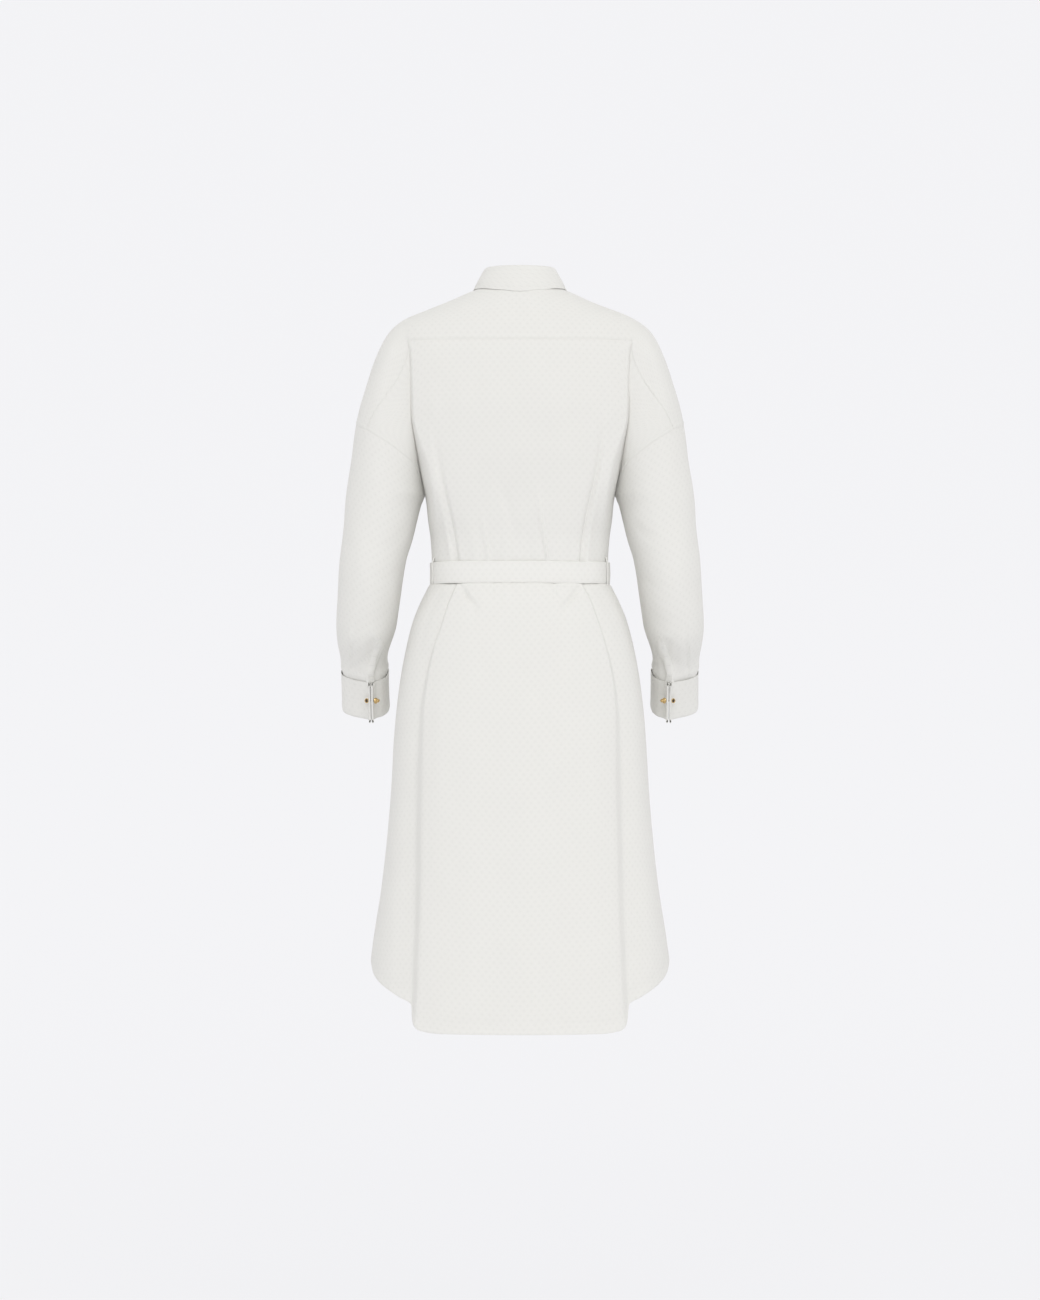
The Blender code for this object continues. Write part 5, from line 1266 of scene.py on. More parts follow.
def collar_fall():
    shares = np.linspace(-FALL_END, FALL_END, 241)
    outer, fine = fall_face(shares)
    out = np.cross(np.gradient(outer, axis=0), np.gradient(outer, axis=1))
    out /= np.linalg.norm(out, axis=-1, keepdims=True)
    if ((outer[20] - outer.mean(axis=(0, 1))) * out[20]).sum() < 0:
        out = -out
    thick, rise = np.full(outer.shape[:2], 1.1), np.zeros(outer.shape[:2])
    thick[-1] = 0.5
    thick[:, 0] = thick[:, -1] = 0.6
    rise[-1] = -0.3
    share, level = np.meshgrid(shares, fine)
    rise += 0.25 * np.sin(share * 23.0 + 2.0 * level) * ease(0.4, 0.8, level)
    outer = outer + out * rise[..., None]
    inner = outer - out * thick[..., None]
    length = arc(outer, 0)
    path, normal = [], []
    for j in range(3, len(shares) - 3):
        place = length[-1, j] - FALL_STITCHES
        for line, values in ((path, outer), (normal, out)):
            line.append([np.interp(place, length[:, j], values[:, j, k]) for k in range(3)])
    sew("collar", path, normal)
    for j in (4, len(shares) - 5):
        sew("collar", outer[16:-3, j], out[16:-3, j])
    return shell("collar_fall_cloth", [(outer, inner, np.stack([arc(outer, 1), -length], -1))])


# ---------------------------------------------------------------- belt

WAIST = (BELT_TOP + BELT_BOTTOM) / 2


def waist_ring(side, s, z, lift):
    """Points and outward directions round the waist at heights z, lifted clear of the cloth and the bands."""
    level = np.full_like(s, WAIST)
    points, out = surface(side, s, level), normals(side, s, level)
    out[..., 2] = 0
    out /= np.linalg.norm(out, axis=-1, keepdims=True)
    bump = np.where(s > 1, (WALL + SEAM) * (1 - ease(17.0, 30.0, np.abs(points[..., 0]))), 0.0)
    points = points + out * (lift + bump)[..., None]
    points[..., 2] = z
    return points, out


def belt_run():
    """Sides and s of points once round the waist."""
    back = VALLEY * np.linspace(0, 1, 90)
    front = 2 - VALLEY * np.linspace(1, 0, 90)
    half = np.concatenate([back, front[1:]])
    sides = np.concatenate([np.full(len(half), LEFT), np.full(len(half) - 2, RIGHT)])
    s = np.concatenate([half, half[-2:0:-1]])
    return sides, s


def belt_profile(half):
    """Distance out and height of the belt's rounded section, once round it from its lower inner corner."""
    inside = [(0.75, -half + 0.7), (0.65, 0.0), (0.75, half - 0.7)]
    edge = [
        (1.1, half - 0.1), (1.6, half), (2.15, half - 0.25), (2.5, half - 1.0), (2.6, half - 2.6),
        (2.75, half - 5),
    ]
    lower = [(lift, -height) for lift, height in reversed(edge)]
    return inside + edge + [(2.85, 0.0)] + lower


def belt_wave(place, height):
    """Low waves along the belt, place being the share of the way round."""
    long_wave = 0.22 * np.sin(2 * math.pi * 11 * place + 0.09 * height)
    return long_wave + 0.15 * np.sin(2 * math.pi * 23 * place + 0.3 * height)


def belt_band():
    sides, s = belt_run()
    half = (BELT_TOP - BELT_BOTTOM) / 2
    place = np.arange(len(s)) / len(s)
    sag = 0.35 * np.sin(2 * math.pi * 3 * place + 0.6) + 0.2 * np.sin(2 * math.pi * 7 * place + 2.0)

    def line(height, lift):
        points, out = np.empty((len(s), 3)), np.empty((len(s), 3))
        for side in (LEFT, RIGHT):
            mask = sides == side
            points[mask], out[mask] = waist_ring(side, s[mask], WAIST + height + sag[mask], lift[mask])
        return points, out

    profile = belt_profile(half)
    rings = np.array([
        line(height, lift + belt_wave(place, height) * (lift > 1.5))[0] for lift, height in profile
    ])
    count, around = rings.shape[:2]
    length = arc(np.concatenate([rings[9], rings[9][:1]]), 0)
    # the inner face takes its figure from another part of the cloth
    level = [height + (60 if k < 3 else 0) for k, (_, height) in enumerate(profile)]
    faces, uv = [], []
    for i in range(count):
        n = (i + 1) % count
        for j in range(around):
            m = (j + 1) % around
            faces.append((i * around + j, i * around + m, n * around + m, n * around + j))
            u, after = length[j], length[j + 1]
            uv += [(u, level[i]), (after, level[i]), (after, level[n]), (u, level[n])]
    for height in (half - 2.3, -half + 2.3):
        sew("belt", *line(height, 2.64 + belt_wave(place, height)))
    return solid_object("belt_band_cloth", rings.reshape(-1, 3), faces, 38.0, uv)


def belt_loop(name, side):
    middle, wide = VALLEY * 0.80, 2.1
    clear = SEAM + 0.4 + BELT_WALL + SEAM
    run = np.linspace(0, 1, 25)
    over, under = [BELT_TOP + rise for rise in (7, 4, 0.8)], [BELT_BOTTOM - drop for drop in (0.8, 4, 7)]
    height = Smooth((0, 0.1, 0.2, 0.5, 0.8, 0.9, 1), over + [WAIST] + under)(run)
    lifts = (0.6, 1.6, clear + 0.2, clear + 0.6, clear + 0.2, 2.6, 3.8)
    lift = Smooth((0, 0.1, 0.22, 0.5, 0.78, 0.9, 1), lifts)(run)
    across, z = np.meshgrid(np.linspace(-wide, wide, 7), height)
    s = middle + across / WAIST_ROUND
    rise = lift[:, None] - 0.3 * (np.abs(across) > wide * 0.8)
    outer, inner = waist_ring(side, s, z, rise + 0.8)[0], waist_ring(side, s, z, rise)[0]
    for part in (-0.55, 0.55):
        line = np.full_like(run, middle + part * wide / WAIST_ROUND)
        path, normal = waist_ring(side, line, height, lift + 0.85)
        sew("belt", path[2:-2], normal[2:-2])
    return shell(name, [(outer, inner, np.stack([across, z], -1))])


KNOT_SIZE = (17.0, 8.5, 17.0)


def belt_knot():
    """A soft lump over the belt: a band that wraps it, with the belt's folds drawn into it."""
    face, _ = waist_ring(LEFT, np.array([2.0]), np.array([WAIST]), np.array([SEAM + 0.4 + BELT_WALL]))
    centre = face[0] + np.array([0, -KNOT_SIZE[1] - SEAM, 0])
    rows, columns = 57, 96
    polar = np.linspace(0.02, math.pi - 0.02, rows)[:, None]
    turn = np.linspace(0, 2 * math.pi, columns, endpoint=False)[None, :]
    direction = [np.sin(polar) * np.cos(turn), np.sin(polar) * np.sin(turn), np.cos(polar) + 0 * turn]
    direction = np.stack(direction, -1)
    squared = np.sign(direction) * np.abs(direction) ** 0.72
    x, z = squared[..., 0], squared[..., 2]
    tilt = x * 0.9 + z * 0.35
    wrap = np.exp(-((tilt / 0.46) ** 4))
    groove = np.exp(-(((np.abs(tilt) - 0.5) / 0.09) ** 2))
    pleat = np.sin(tilt * 17.0 + 0.8 * np.sin(z * 2.2)) * wrap
    side_pleat = np.sin(z * 13.0 + 2.2 * x + 0.9 * np.sin(x * 3)) * (1 - wrap)
    size = 0.86 + 0.09 * wrap - 0.11 * groove + 0.016 * pleat + 0.035 * side_pleat
    points = centre + squared * np.array(KNOT_SIZE) * size[..., None]
    faces, uv = ring_faces(rows, columns), []
    for i in range(rows - 1):
        for j in range(columns):
            uv += [((j + right) * 1.1, (i + down) * 0.9) for right, down in ((0, 0), (1, 0), (1, 1), (0, 1))]
    for row in (0, rows - 1):
        faces.append(tuple(range(row * columns, (row + 1) * columns)))
        uv += [(k * 0.1, row) for k in range(columns)]
    return solid_object("belt_knot_cloth", points.reshape(-1, 3), faces, 80.0, uv)


def belt_tail(name, length, spread, phase):
    """A hanging end of the belt. spread is how far it drifts out from the middle on its way down."""
    share = np.concatenate([np.linspace(0, 0.985, 90), [0.992, 0.997, 1.0]])
    part = np.concatenate([[-1, -0.97, -0.9], np.linspace(-0.78, 0.78, 11), [0.9, 0.97, 1]])
    part, share = np.meshgrid(part, share)
    z = BELT_BOTTOM - 0.5 - SEAM - share * length
    half = mix(7.0, 15.0, ease(0.0, 0.28, share))
    middle = 9.0 + half * 0.9 + spread * share - 7.0 + 1.2 * np.sin(share * 5 + phase) * share
    side = LEFT if name.endswith("left_cloth") else RIGHT
    x = middle + part * half
    points = surface(side, 2 - VALLEY * side_share(np.maximum(x, 0.5), z), z)
    lift = mix(12.0, 7.0, ease(0.0, 0.12, share)) + 2.0 * (1 - np.abs(part)) * share * (1 - share)
    pleats = np.exp(-share * 9) * (0.9 * np.cos(part * 6.0 + phase) - 0.4)
    wave = 0.7 * np.sin(share * 8.0 + part * 1.3 + phase) * ease(0.1, 0.5, share)
    edge = 0.35 * (np.abs(part) > 0.93) + 0.25 * (np.abs(part) > 0.99)
    ends = 0.3 * ease(0.99, 1.0, share)
    lift = lift + pleats + wave
    forwards = np.array([0.0, -1.0, 0.0])
    outer = points + forwards * (lift + BELT_WALL - 0.2 - edge - ends)[..., None]
    inner = points + forwards * (lift + 0.2 + edge * 0.6 + ends)[..., None]
    out = np.broadcast_to(forwards, outer.shape)
    for column_number in (2, -3):
        sew("belt", outer[4:-4, column_number], out[4:-4, column_number])
    sew("belt", outer[-5, 2:-2], out[-5, 2:-2])
    return shell(name, [(outer, inner, np.stack([part * half, -share * length], -1))])


# ---------------------------------------------------------------- buttons and studs


def turned(profile, steps=48):
    """Points and faces of a turned solid about Z. profile holds (radius, height) from axis to axis."""
    points, faces, rings = [], [], []
    turns = [2 * math.pi * k / steps for k in range(steps)]
    for radius, along in profile:
        if radius == 0:
            rings.append([len(points)])
            points.append((0.0, 0.0, along))
            continue
        rings.append(list(range(len(points), len(points) + steps)))
        points += [(radius * math.cos(turn), radius * math.sin(turn), along) for turn in turns]
    for a, b in zip(rings, rings[1:]):
        for k in range(steps):
            n = (k + 1) % steps
            unique = list(dict.fromkeys([a[k % len(a)], a[n % len(a)], b[n % len(b)], b[k % len(b)]]))
            if len(unique) > 2:
                faces.append(unique)
    return np.array(points), faces


def place_axis(made, centre, axis, turn):
    """Puts a part that was made about Z at a centre in millimetres, with its Z along an axis."""
    spin = Vector(axis).normalized().to_track_quat("Z", "Y").to_matrix().to_4x4()
    made.matrix_world = Matrix.Translation(Vector(centre) * MM) @ spin @ Matrix.Rotation(turn, 4, "Z")


def rounded(profile, radius=0.25, steps=3):
    """A turned profile with its corners softened."""
    points = [profile[0]]
    for before, here, after in zip(profile, profile[1:], profile[2:]):
        here_v, before_v, after_v = (np.array(p, float) for p in (here, before, after))
        a, b = before_v - here_v, after_v - here_v
        la, lb = np.linalg.norm(a), np.linalg.norm(b)
        cut = min(radius, la * 0.4, lb * 0.4)
        start, end = here_v + a / la * cut, here_v + b / lb * cut
        for k in range(steps + 1):
            t = k / steps
            point = (1 - t) ** 2 * start + 2 * t * (1 - t) * here_v + t * t * end
            points.append((float(max(point[0], 0.0)), float(point[1])))
    return points + [profile[-1]]


def button_mesh():
    """A four-hole button with a raised rim."""
    r, t = BUTTON_RADIUS, BUTTON_THICK
    profile = [
        (0, 0.0), (r - 0.9, 0.0), (r, 0.8), (r, t - 0.5), (r - 0.7, t), (r - 1.5, t - 0.1),
        (r - 2.1, t - 0.75), (0, t - 0.85),
    ]
    made = solid_object("button_form", *turned(rounded(profile)), 60.0)
    hole, hole_faces = turned([(0, -1), (HOLE_RADIUS, -1), (HOLE_RADIUS, 4), (0, 4)], 16)
    holes = [(hole + np.array([x, y, 0]), hole_faces) for x in HOLES for y in HOLES]
    cutter = solid_object("button_cutter", *joined(holes), 38.0)
    cut = made.modifiers.new("holes", "BOOLEAN")
    cut.operation, cut.object, cut.solver = "DIFFERENCE", cutter, "EXACT"
    bpy.context.view_layer.update()
    mesh = bpy.data.meshes.new_from_object(made.evaluated_get(bpy.context.evaluated_depsgraph_get()))
    bpy.data.objects.remove(made)
    bpy.data.objects.remove(cutter)
    mesh.polygons.foreach_set("use_smooth", [True] * len(mesh.polygons))
    mesh.set_sharp_from_angle(angle=math.radians(40))
    mesh.name = "button_mesh"
    return mesh


def thread_mesh():
    """The two bars of thread over a button's holes, three strands each."""
    reach = 1.35
    ys = np.linspace(-reach, reach, 11)
    strands = []
    for x in HOLES:
        for shift in (-0.3, 0.0, 0.3):
            path = [(x + shift, y, BUTTON_THICK - 0.8 + 0.45 * (1 - (y / reach) ** 4)) for y in ys]
            strands.append(tube(path, 0.19, 6))
    return joined(strands)


def box_middle(node):
    low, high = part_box(node)
    return (np.array(low) + np.array(high)) / 2 / MM


def button_places():
    """Centre of the back face and outward direction of each button, as on the solids."""
    heights = band_heights()
    line, _ = band_face(np.zeros_like(heights), heights, WALL + SEAM, creases=False)

    def on_line(z):
        return np.array([np.interp(-z, -line[:, 2], line[:, k]) for k in range(3)])

    places = []
    for k in range(BUTTON_COUNT):
        centre = box_middle(f"button_{k + 1}")
        run = on_line(centre[2] - 5.0) - on_line(centre[2] + 5.0)
        out = np.array([0.0, run[2], -run[1]]) / np.linalg.norm(run[1:])
        out *= -np.sign(out[1])
        places.append((centre - out * BUTTON_THICK / 2, out))
    lean = np.array([0.0, -STAND_HEIGHT, STAND_LEAN])
    lean /= np.linalg.norm(lean)
    return places, (box_middle("button_collar") - lean * BUTTON_THICK / 2, lean)


def buttonhole(name, centre, out, upright):
    """A ring of close thread round the slit that the button passes through."""
    along = np.array([0.0, 0.0, 1.0]) - out * out[2] if upright else np.array([1.0, 0.0, 0.0])
    along /= np.linalg.norm(along)
    across = np.cross(out, along)
    steps = 97
    path = []
    for turn in np.linspace(0, 2 * math.pi, steps):
        length = 7.6 * np.sign(math.cos(turn)) * abs(math.cos(turn)) ** 0.7
        path.append(centre + along * length + across * 1.25 * math.sin(turn) - out * 0.35)
    points, faces = tube(path, 0.42 + 0.1 * np.sin(np.arange(steps) * 2.1))
    return to_object(name, points, faces, None, 180.0)

STUD_POST, STUD_BALL, STUD_REACH = 1.3, 1.75, 5.2
HEAD_LEAN, KNOB_LEAN = math.radians(58.0), math.radians(40.0)  # how far each head turns towards the back


def stud_line(side):
    """Centre of a stud and the direction of its post."""
    z = CUFF_TOP - CUFF_HEIGHT * (1 - STUD_HEIGHT)
    middle = float((INNER(z) + OUTER(z)) / 2)
    pinch = (CUFF_RUN[1].x + CUFF_RUN[-2].x) / 2
    slope = float(arm_slant(CUFF_TOP))
    centre = np.array([side * (middle + pinch), float(ARM_Y(z)) + STUD_OUT, z - slope * STUD_OUT])
    return centre, np.array([1.0 * side, 0.0, 0.0])


def turned_along(profile, start, direction):
    """Points and faces of a turned form whose axis starts at a place and runs along a direction."""
    points, faces = turned(rounded(profile, 0.3))
    spin = np.array(Vector(direction).normalized().to_track_quat("Z", "Y").to_matrix())
    return np.asarray(start) + points @ spin.T, faces


def head_line(side, way, lean):
    """Start and direction of a stud's head. way is 1 on the arm's outer side and -1 on its inner side."""
    centre, axis = stud_line(side)
    direction = axis * way * math.cos(lean) + np.array([0.0, math.sin(lean), 0.0])
    return centre + axis * way * STUD_REACH, direction


def cuff_stud(name, side):
    """A rimmed head on the outer side, a dome with a knob on the inner side, and the post between them."""
    ball, reach = STUD_BALL, STUD_REACH
    post = [
        (0, -reach - ball), (1.1, -reach - 1.3), (ball, -reach), (STUD_POST, 1.4 - reach),
        (STUD_POST, reach - 1.4), (ball, reach), (1.1, reach + 1.3), (0, reach + ball),
    ]
    rimmed = [
        (0, 0.2), (1.4, 0.3), (2.6, 1.0), (3.4, 1.5), (3.5, 2.5), (3.1, 3.0), (2.4, 2.9), (2.1, 2.3),
        (0, 2.2),
    ]
    knobbed = [
        (0, 0.0), (1.6, 0.2), (3.6, 0.8), (4.3, 1.5), (4.2, 2.4), (3.3, 3.3), (2.2, 3.9), (1.7, 4.7),
        (2.4, 5.5), (2.6, 6.6), (2.0, 7.7), (0, 8.3),
    ]
    forms = [
        turned_along(post, *stud_line(side)),
        turned_along(rimmed, *head_line(side, 1, HEAD_LEAN)),
        turned_along(knobbed, *head_line(side, -1, KNOB_LEAN)),
    ]
    return solid_object(name, *joined(forms), 50.0)


def stud_inlay(name, side):
    """The dark dome set in the rimmed head."""
    dome = [(0, 2.0), (2.2, 2.0), (2.15, 2.5), (1.6, 2.95), (0.8, 3.2), (0, 3.25)]
    return solid_object(name, *turned_along(dome, *head_line(side, 1, HEAD_LEAN)), 60.0)


# ---------------------------------------------------------------- materials


def nodes_of(name):
    made = bpy.data.materials.new(name)
    made.use_nodes = True
    tree = made.node_tree
    tree.nodes.clear()
    output = tree.nodes.new("ShaderNodeOutputMaterial")
    shader = tree.nodes.new("ShaderNodeBsdfPrincipled")
    tree.links.new(shader.outputs[0], output.inputs[0])
    return made, tree, shader


def link(tree, source, target):
    tree.links.new(source, target)


def set_inputs(node, values):
    for name, value in values.items():
        node.inputs[name].default_value = value


def maths(tree, operation, a, b=None):
    node = tree.nodes.new("ShaderNodeMath")
    node.operation = operation
    for socket, value in zip(node.inputs, (a, b)):
        if value is None:
            continue
        if isinstance(value, (int, float)):
            socket.default_value = value
        else:
            tree.links.new(value, socket)
    return node.outputs[0]


def blend_colour(tree, factor, a, b):
    node = tree.nodes.new("ShaderNodeMix")
    node.data_type = "RGBA"
    for socket, value in ((node.inputs[0], factor), (node.inputs[6], a), (node.inputs[7], b)):
        if isinstance(value, tuple):
            socket.default_value = (*value, 1.0)
        elif isinstance(value, (int, float)):
            socket.default_value = value
        else:
            tree.links.new(value, socket)
    return node.outputs[2]


MOTIF = 0.0105  # metres between motifs along a row; each row is shifted by half of it
MOTIF_HEIGHT = 0.62  # height of a row, as a share of that
WEAVE = 0.00055  # metres for one wave of the weave
COTTON = (0.80, 0.793, 0.762)
COTTON_DARK = (0.765, 0.758, 0.726)
COTTON_FIGURE = (0.70, 0.694, 0.664)


def times(tree, a, b):
    return maths(tree, "MULTIPLY", a, b)


def texture(tree, kind, values):
    """A texture over the object's own coordinates."""
    node = tree.nodes.new(kind)
    set_inputs(node, values)
    link(tree, tree.nodes.new("ShaderNodeTexCoord").outputs["Object"], node.inputs["Vector"])
    return node


def noise(tree, scale, detail=2.0, distortion=0.0):
    values = {"Scale": scale, "Detail": detail, "Distortion": distortion}
    return texture(tree, "ShaderNodeTexNoise", values).outputs[0]


def bump(tree, shader, height, strength, distance):
    node = tree.nodes.new("ShaderNodeBump")
    set_inputs(node, {"Strength": strength, "Distance": distance})
    link(tree, height, node.inputs["Height"])
    link(tree, node.outputs[0], shader.inputs["Normal"])


def soft_range(tree, value, span, start, end):
    """Goes smoothly from a start to an end while a value crosses a span."""
    node = tree.nodes.new("ShaderNodeMapRange")
    node.interpolation_type = "SMOOTHSTEP"
    for socket, number in zip(node.inputs, (0.0, *span, start, end)):
        socket.default_value = number
    link(tree, value, node.inputs[0])
    return node.outputs[0]


def cotton(name, light=1.0):
    """White cotton with a small woven motif: lozenges with a ring of fine floats, in staggered rows."""
    made, tree, shader = nodes_of(name)
    uv = tree.nodes.new("ShaderNodeUVMap")
    uv.uv_map = "cloth"
    split = tree.nodes.new("ShaderNodeSeparateXYZ")
    link(tree, uv.outputs[0], split.inputs[0])
    u, v = split.outputs[0], split.outputs[1]

    def off_middle(value):
        return maths(tree, "ABSOLUTE", maths(tree, "SUBTRACT", maths(tree, "FRACT", value), 0.5))

    rows = maths(tree, "DIVIDE", v, MOTIF * MOTIF_HEIGHT)
    shift = times(tree, maths(tree, "FLOOR", rows), 0.5)
    shifted = maths(tree, "ADD", maths(tree, "DIVIDE", u, MOTIF), shift)
    lozenge = maths(tree, "ADD", off_middle(shifted), times(tree, off_middle(rows), MOTIF_HEIGHT))
    heart = soft_range(tree, lozenge, (0.10, 0.15), 1.0, 0.0)
    from_ring = maths(tree, "ABSOLUTE", maths(tree, "SUBTRACT", lozenge, 0.27))
    ring = soft_range(tree, from_ring, (0.0, 0.055), 0.75, 0.0)
    figure = maths(tree, "MAXIMUM", heart, ring)

    weave_u, weave_v = (maths(tree, "SINE", times(tree, place, 2 * math.pi / WEAVE)) for place in (u, v))
    weave = times(tree, weave_u, weave_v)
    slub, wide, medium = noise(tree, 900.0, 3.0), noise(tree, 9.0, 4.0), noise(tree, 70.0, 4.0)

    shade = maths(tree, "ADD", times(tree, wide, 0.35), times(tree, medium, 0.25))
    tints = (COTTON, COTTON_DARK, COTTON_FIGURE)
    pale, dark, woven = (tuple(part * light for part in tint) for tint in tints)
    lit = blend_colour(tree, times(tree, figure, 0.5), blend_colour(tree, shade, pale, dark), woven)
    grain = blend_colour(tree, times(tree, maths(tree, "ABSOLUTE", weave), 0.10), lit, woven)
    link(tree, grain, shader.inputs["Base Color"])
    rough = maths(tree, "ADD", 0.84, times(tree, slub, 0.1))
    link(tree, maths(tree, "SUBTRACT", rough, times(tree, figure, 0.2)), shader.inputs["Roughness"])
    set_inputs(shader, {"Sheen Weight": 0.04, "Sheen Roughness": 0.5, "Specular IOR Level": 0.3})
    height = maths(tree, "ADD", times(tree, weave, 0.04), times(tree, slub, 0.12))
    height = maths(tree, "SUBTRACT", height, times(tree, figure, 0.16))
    height = maths(tree, "ADD", height, times(tree, medium, 1.4))
    bump(tree, shader, height, 0.35, 0.0007)
    return made


def thread():
    made, tree, shader = nodes_of("cotton_thread")
    twist = noise(tree, 1500.0)
    link(tree, blend_colour(tree, twist, (0.80, 0.80, 0.78), (0.70, 0.70, 0.68)), shader.inputs["Base Color"])
    set_inputs(shader, {"Roughness": 0.6, "Sheen Weight": 0.2})
    bump(tree, shader, twist, 0.3, 0.0001)
    return made


def pearl():
    made, tree, shader = nodes_of("pearl_button")
    cloud = noise(tree, 240.0, distortion=1.6)
    band = texture(tree, "ShaderNodeTexWave", {"Scale": 90.0, "Distortion": 7.0}).outputs[1]
    tint = blend_colour(tree, cloud, (0.84, 0.83, 0.79), (0.88, 0.88, 0.87))
    tint = blend_colour(tree, times(tree, band, 0.25), tint, (0.80, 0.81, 0.84))
    link(tree, tint, shader.inputs["Base Color"])
    link(tree, maths(tree, "ADD", 0.18, times(tree, cloud, 0.12)), shader.inputs["Roughness"])
    set_inputs(shader, {"Coat Weight": 0.5, "Coat Roughness": 0.08})
    return made


def metal(name, cloud, tints, rough, metallic):
    """Metal with a cloudy tint. rough holds its least roughness and what the cloud adds."""
    made, tree, shader = nodes_of(name)
    wear = noise(tree, *cloud)
    link(tree, blend_colour(tree, wear, *tints), shader.inputs["Base Color"])
    link(tree, maths(tree, "ADD", rough[0], times(tree, wear, rough[1])), shader.inputs["Roughness"])
    set_inputs(shader, {"Metallic": metallic})
    return made, tree, shader, wear


def gold():
    tints = (0.72, 0.52, 0.25), (0.60, 0.42, 0.19)
    made, tree, shader, wear = metal("pale_gold_metal", (600.0, 5.0), tints, (0.16, 0.16), 1.0)
    bump(tree, shader, wear, 0.08, 0.00005)
    return made


def inlay():
    tints = (0.10, 0.075, 0.05), (0.045, 0.035, 0.03)
    return metal("dark_bronze_inlay", (900.0, 3.0), tints, (0.22, 0.2), 0.6)[0]


# ---------------------------------------------------------------- the dress

NECK = neck_curve()
CLOTH_FINISH = cotton("white_cotton_dobby")
BELT_FINISH = cotton("white_cotton_doubled", light=1.035)
THREAD_FINISH, PEARL_FINISH, GOLD_FINISH, INLAY_FINISH = thread(), pearl(), gold(), inlay()


def finish_piece(made, finish, slot, *nodes):
    made.data.materials.clear()
    made.data.materials.append(finish)
    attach(made, "root")
    if nodes:
        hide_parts(*nodes)
    return made


# What each piece of cloth was cut to, in metres and square metres, how it is held and what it hangs from.
Cut = namedtuple("Cut", "width length area held rests_on")


def cloth_piece(made, node, finish=None):
    finish_piece(made, finish or CLOTH_FINISH, "cotton", node)


loops = [
    finish_piece(belt_loop(f"belt_loop_{word}_cloth", side), BELT_FINISH, "cotton", f"belt_loop_{word}")
    for word, side in (("left", LEFT), ("right", RIGHT))
]
cloth_piece(back_panel(), "back_panel")
cloth_piece(back_yoke(), "back_yoke")
for word, side in (("left", LEFT), ("right", RIGHT)):
    cloth_piece(front_panel(f"front_{word}_cloth", side), f"front_{word}")
    cloth_piece(sleeve(f"sleeve_{word}_cloth", side), f"sleeve_{word}")
    slit_band = sleeve_placket(f"sleeve_placket_{word}_cloth", side)
    cloth_piece(slit_band, f"sleeve_placket_{word}")
    cloth_piece(cuff(f"cuff_{word}_cloth", side), f"cuff_{word}")
    cloth_piece(placket(f"placket_{word}_cloth", side == RIGHT), f"placket_{word}")
    finish_piece(cuff_stud(f"cuff_stud_{word}_metal", side), GOLD_FINISH, "studs", f"cuff_stud_{word}")
    finish_piece(stud_inlay(f"cuff_stud_{word}_inlay", side), INLAY_FINISH, "studs")
cloth_piece(collar_stand(), "collar_stand")
cloth_piece(collar_fall(), "collar_fall")
cloth_piece(belt_band(), "belt_band", finish=BELT_FINISH)
cloth_piece(belt_knot(), "belt_knot", finish=BELT_FINISH)
cloth_piece(belt_tail("belt_tail_left_cloth", 300.0, 22.0, 0.3), "belt_tail_left")
cloth_piece(belt_tail("belt_tail_right_cloth", 265.0, 16.0, 2.1), "belt_tail_right")

form = button_mesh()
places, collar_place = button_places()
for number, (centre, out) in enumerate(places + [collar_place], 1):
    word = "collar" if number > len(places) else str(number)
    made = bpy.data.objects.new(f"button_{word}_pearl", form.copy())
    bpy.context.scene.collection.objects.link(made)
    place_axis(made, centre, out, 0.12 * math.sin(number * 2.3))
    finish_piece(made, PEARL_FINISH, "buttons", f"button_{word}")
    points, faces = thread_mesh()
    tied = to_object(f"button_{word}_thread", points, faces, None, 180.0)
    place_axis(tied, centre, out, 0.12 * math.sin(number * 2.3))
    finish_piece(tied, THREAD_FINISH, "cotton")
    finish_piece(buttonhole(f"buttonhole_{word}", centre, out, word != "collar"), THREAD_FINISH, "cotton")
for made in make_stitches():
    finish_piece(made, THREAD_FINISH, "cotton")


# ---------------------------------------------------------------- light, floor and camera


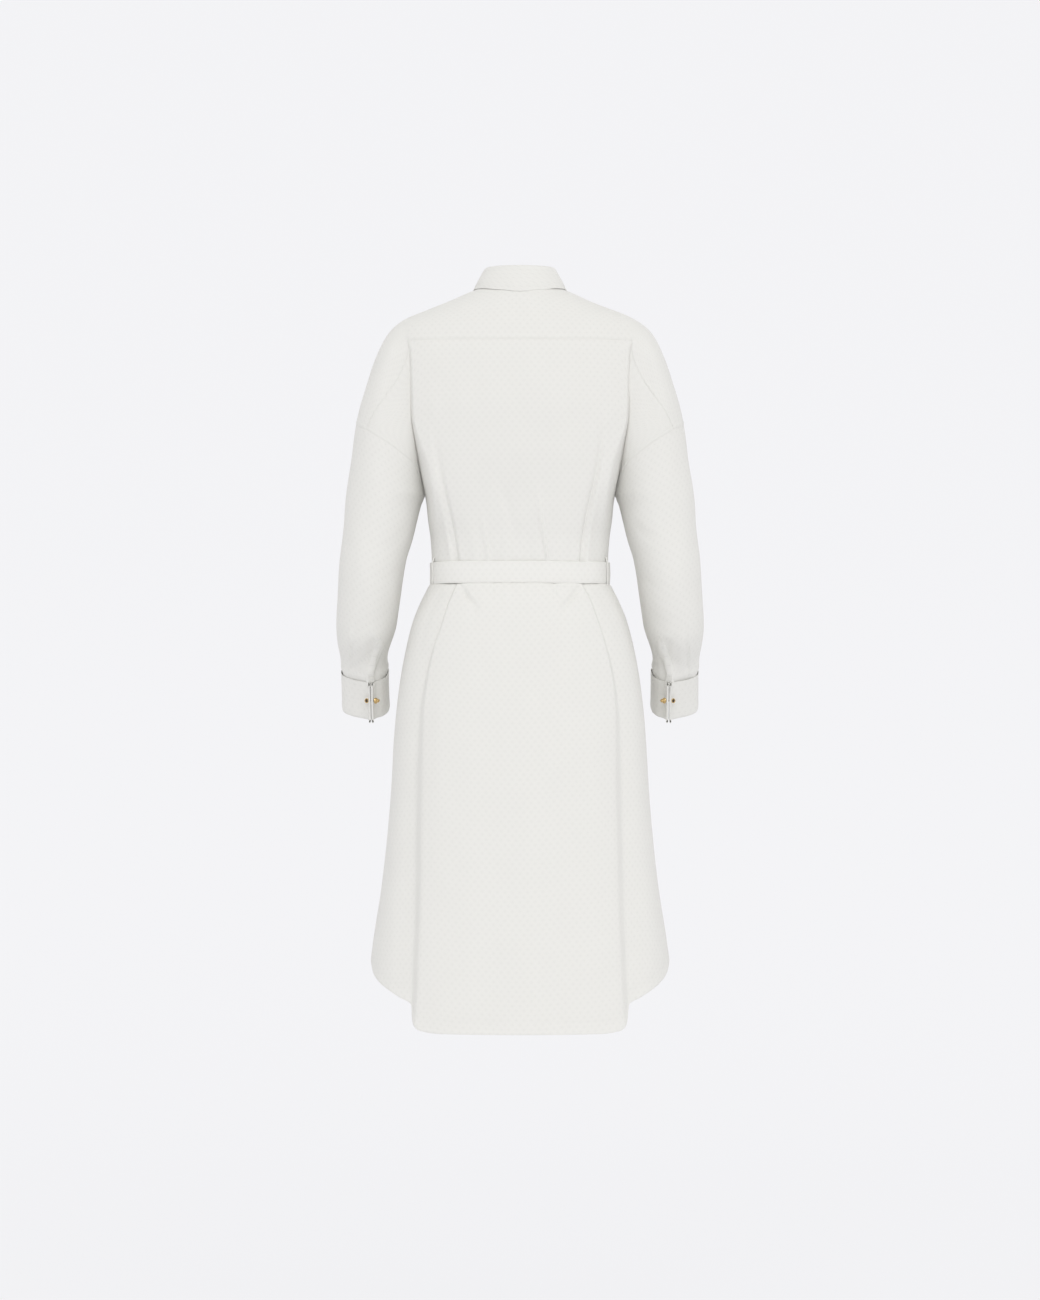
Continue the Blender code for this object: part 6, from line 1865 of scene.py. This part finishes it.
def sweep():
    """A pale floor that curves up into a plain backdrop behind the dress."""
    floor, back, radius, half = -1.62, -3.6, 1.4, 12.0
    line = [(14.0, floor), (back + radius, floor)]
    for turn in np.linspace(0.05, math.pi / 2, 24):
        line.append((back + radius - radius * math.sin(turn), floor + radius - radius * math.cos(turn)))
    line.append((back, 6.5))
    points = [(x, y, z) for y, z in line for x in (-half, half)]
    faces = [(2 * i, 2 * i + 1, 2 * i + 3, 2 * i + 2) for i in range(len(line) - 1)]
    mesh = bpy.data.meshes.new("studio_sweep")
    mesh.from_pydata(points, [], faces)
    mesh.polygons.foreach_set("use_smooth", [True] * len(mesh.polygons))
    made = bpy.data.objects.new("studio_sweep", mesh)
    bpy.context.scene.collection.objects.link(made)
    finish, _, shader = nodes_of("studio_paper")
    set_inputs(shader, {
        "Base Color": (0.12, 0.12, 0.124, 1.0),
        "Emission Color": (0.888, 0.888, 0.905, 1.0),
        "Emission Strength": 0.87,
        "Roughness": 1.0,
        "Specular IOR Level": 0.0,
    })
    mesh.materials.append(finish)
    return made


def sun(name, direction, strength, softness):
    """Even soft light from one side, as from a large screen."""
    data = bpy.data.lights.new(name, "SUN")
    data.energy, data.angle = strength, math.radians(softness)
    made = bpy.data.objects.new(name, data)
    bpy.context.scene.collection.objects.link(made)
    made.rotation_euler = (-Vector(direction)).to_track_quat("-Z", "Y").to_euler()
    return made


sweep()
world = bpy.data.worlds.new("studio_air")
bpy.context.scene.world = world
world.use_nodes = True
world.node_tree.nodes["Background"].inputs[0].default_value = (1.0, 1.0, 1.0, 1.0)
world.node_tree.nodes["Background"].inputs[1].default_value = 0.585
sun("key_light", (-0.2, 2.1, 1.6), 1.17, 50.0)
sun("side_light_left", (2.2, 0.5, 0.5), 0.33, 70.0)
sun("side_light_right", (-2.2, 0.5, 0.5), 0.33, 70.0)
sun("front_light", (0.5, -1.8, 1.6), 0.6, 50.0)

CAMERA_DISTANCE, CAMERA_HEIGHT = 4.5, -0.516
FRAME_HEIGHT = 1.859  # metres that the picture covers from top to bottom at the middle of the dress
SENSOR = 24.0
camera = bpy.data.objects.new("camera", bpy.data.cameras.new("camera"))
bpy.context.scene.collection.objects.link(camera)
camera.location = (0.0, CAMERA_DISTANCE, CAMERA_HEIGHT)
camera.rotation_euler = (math.pi / 2, 0.0, math.pi)
camera.data.sensor_fit = "VERTICAL"
camera.data.sensor_height = SENSOR
camera.data.lens = SENSOR * CAMERA_DISTANCE / FRAME_HEIGHT
bpy.context.scene.camera = camera
bpy.context.scene.view_settings.view_transform = "Standard"
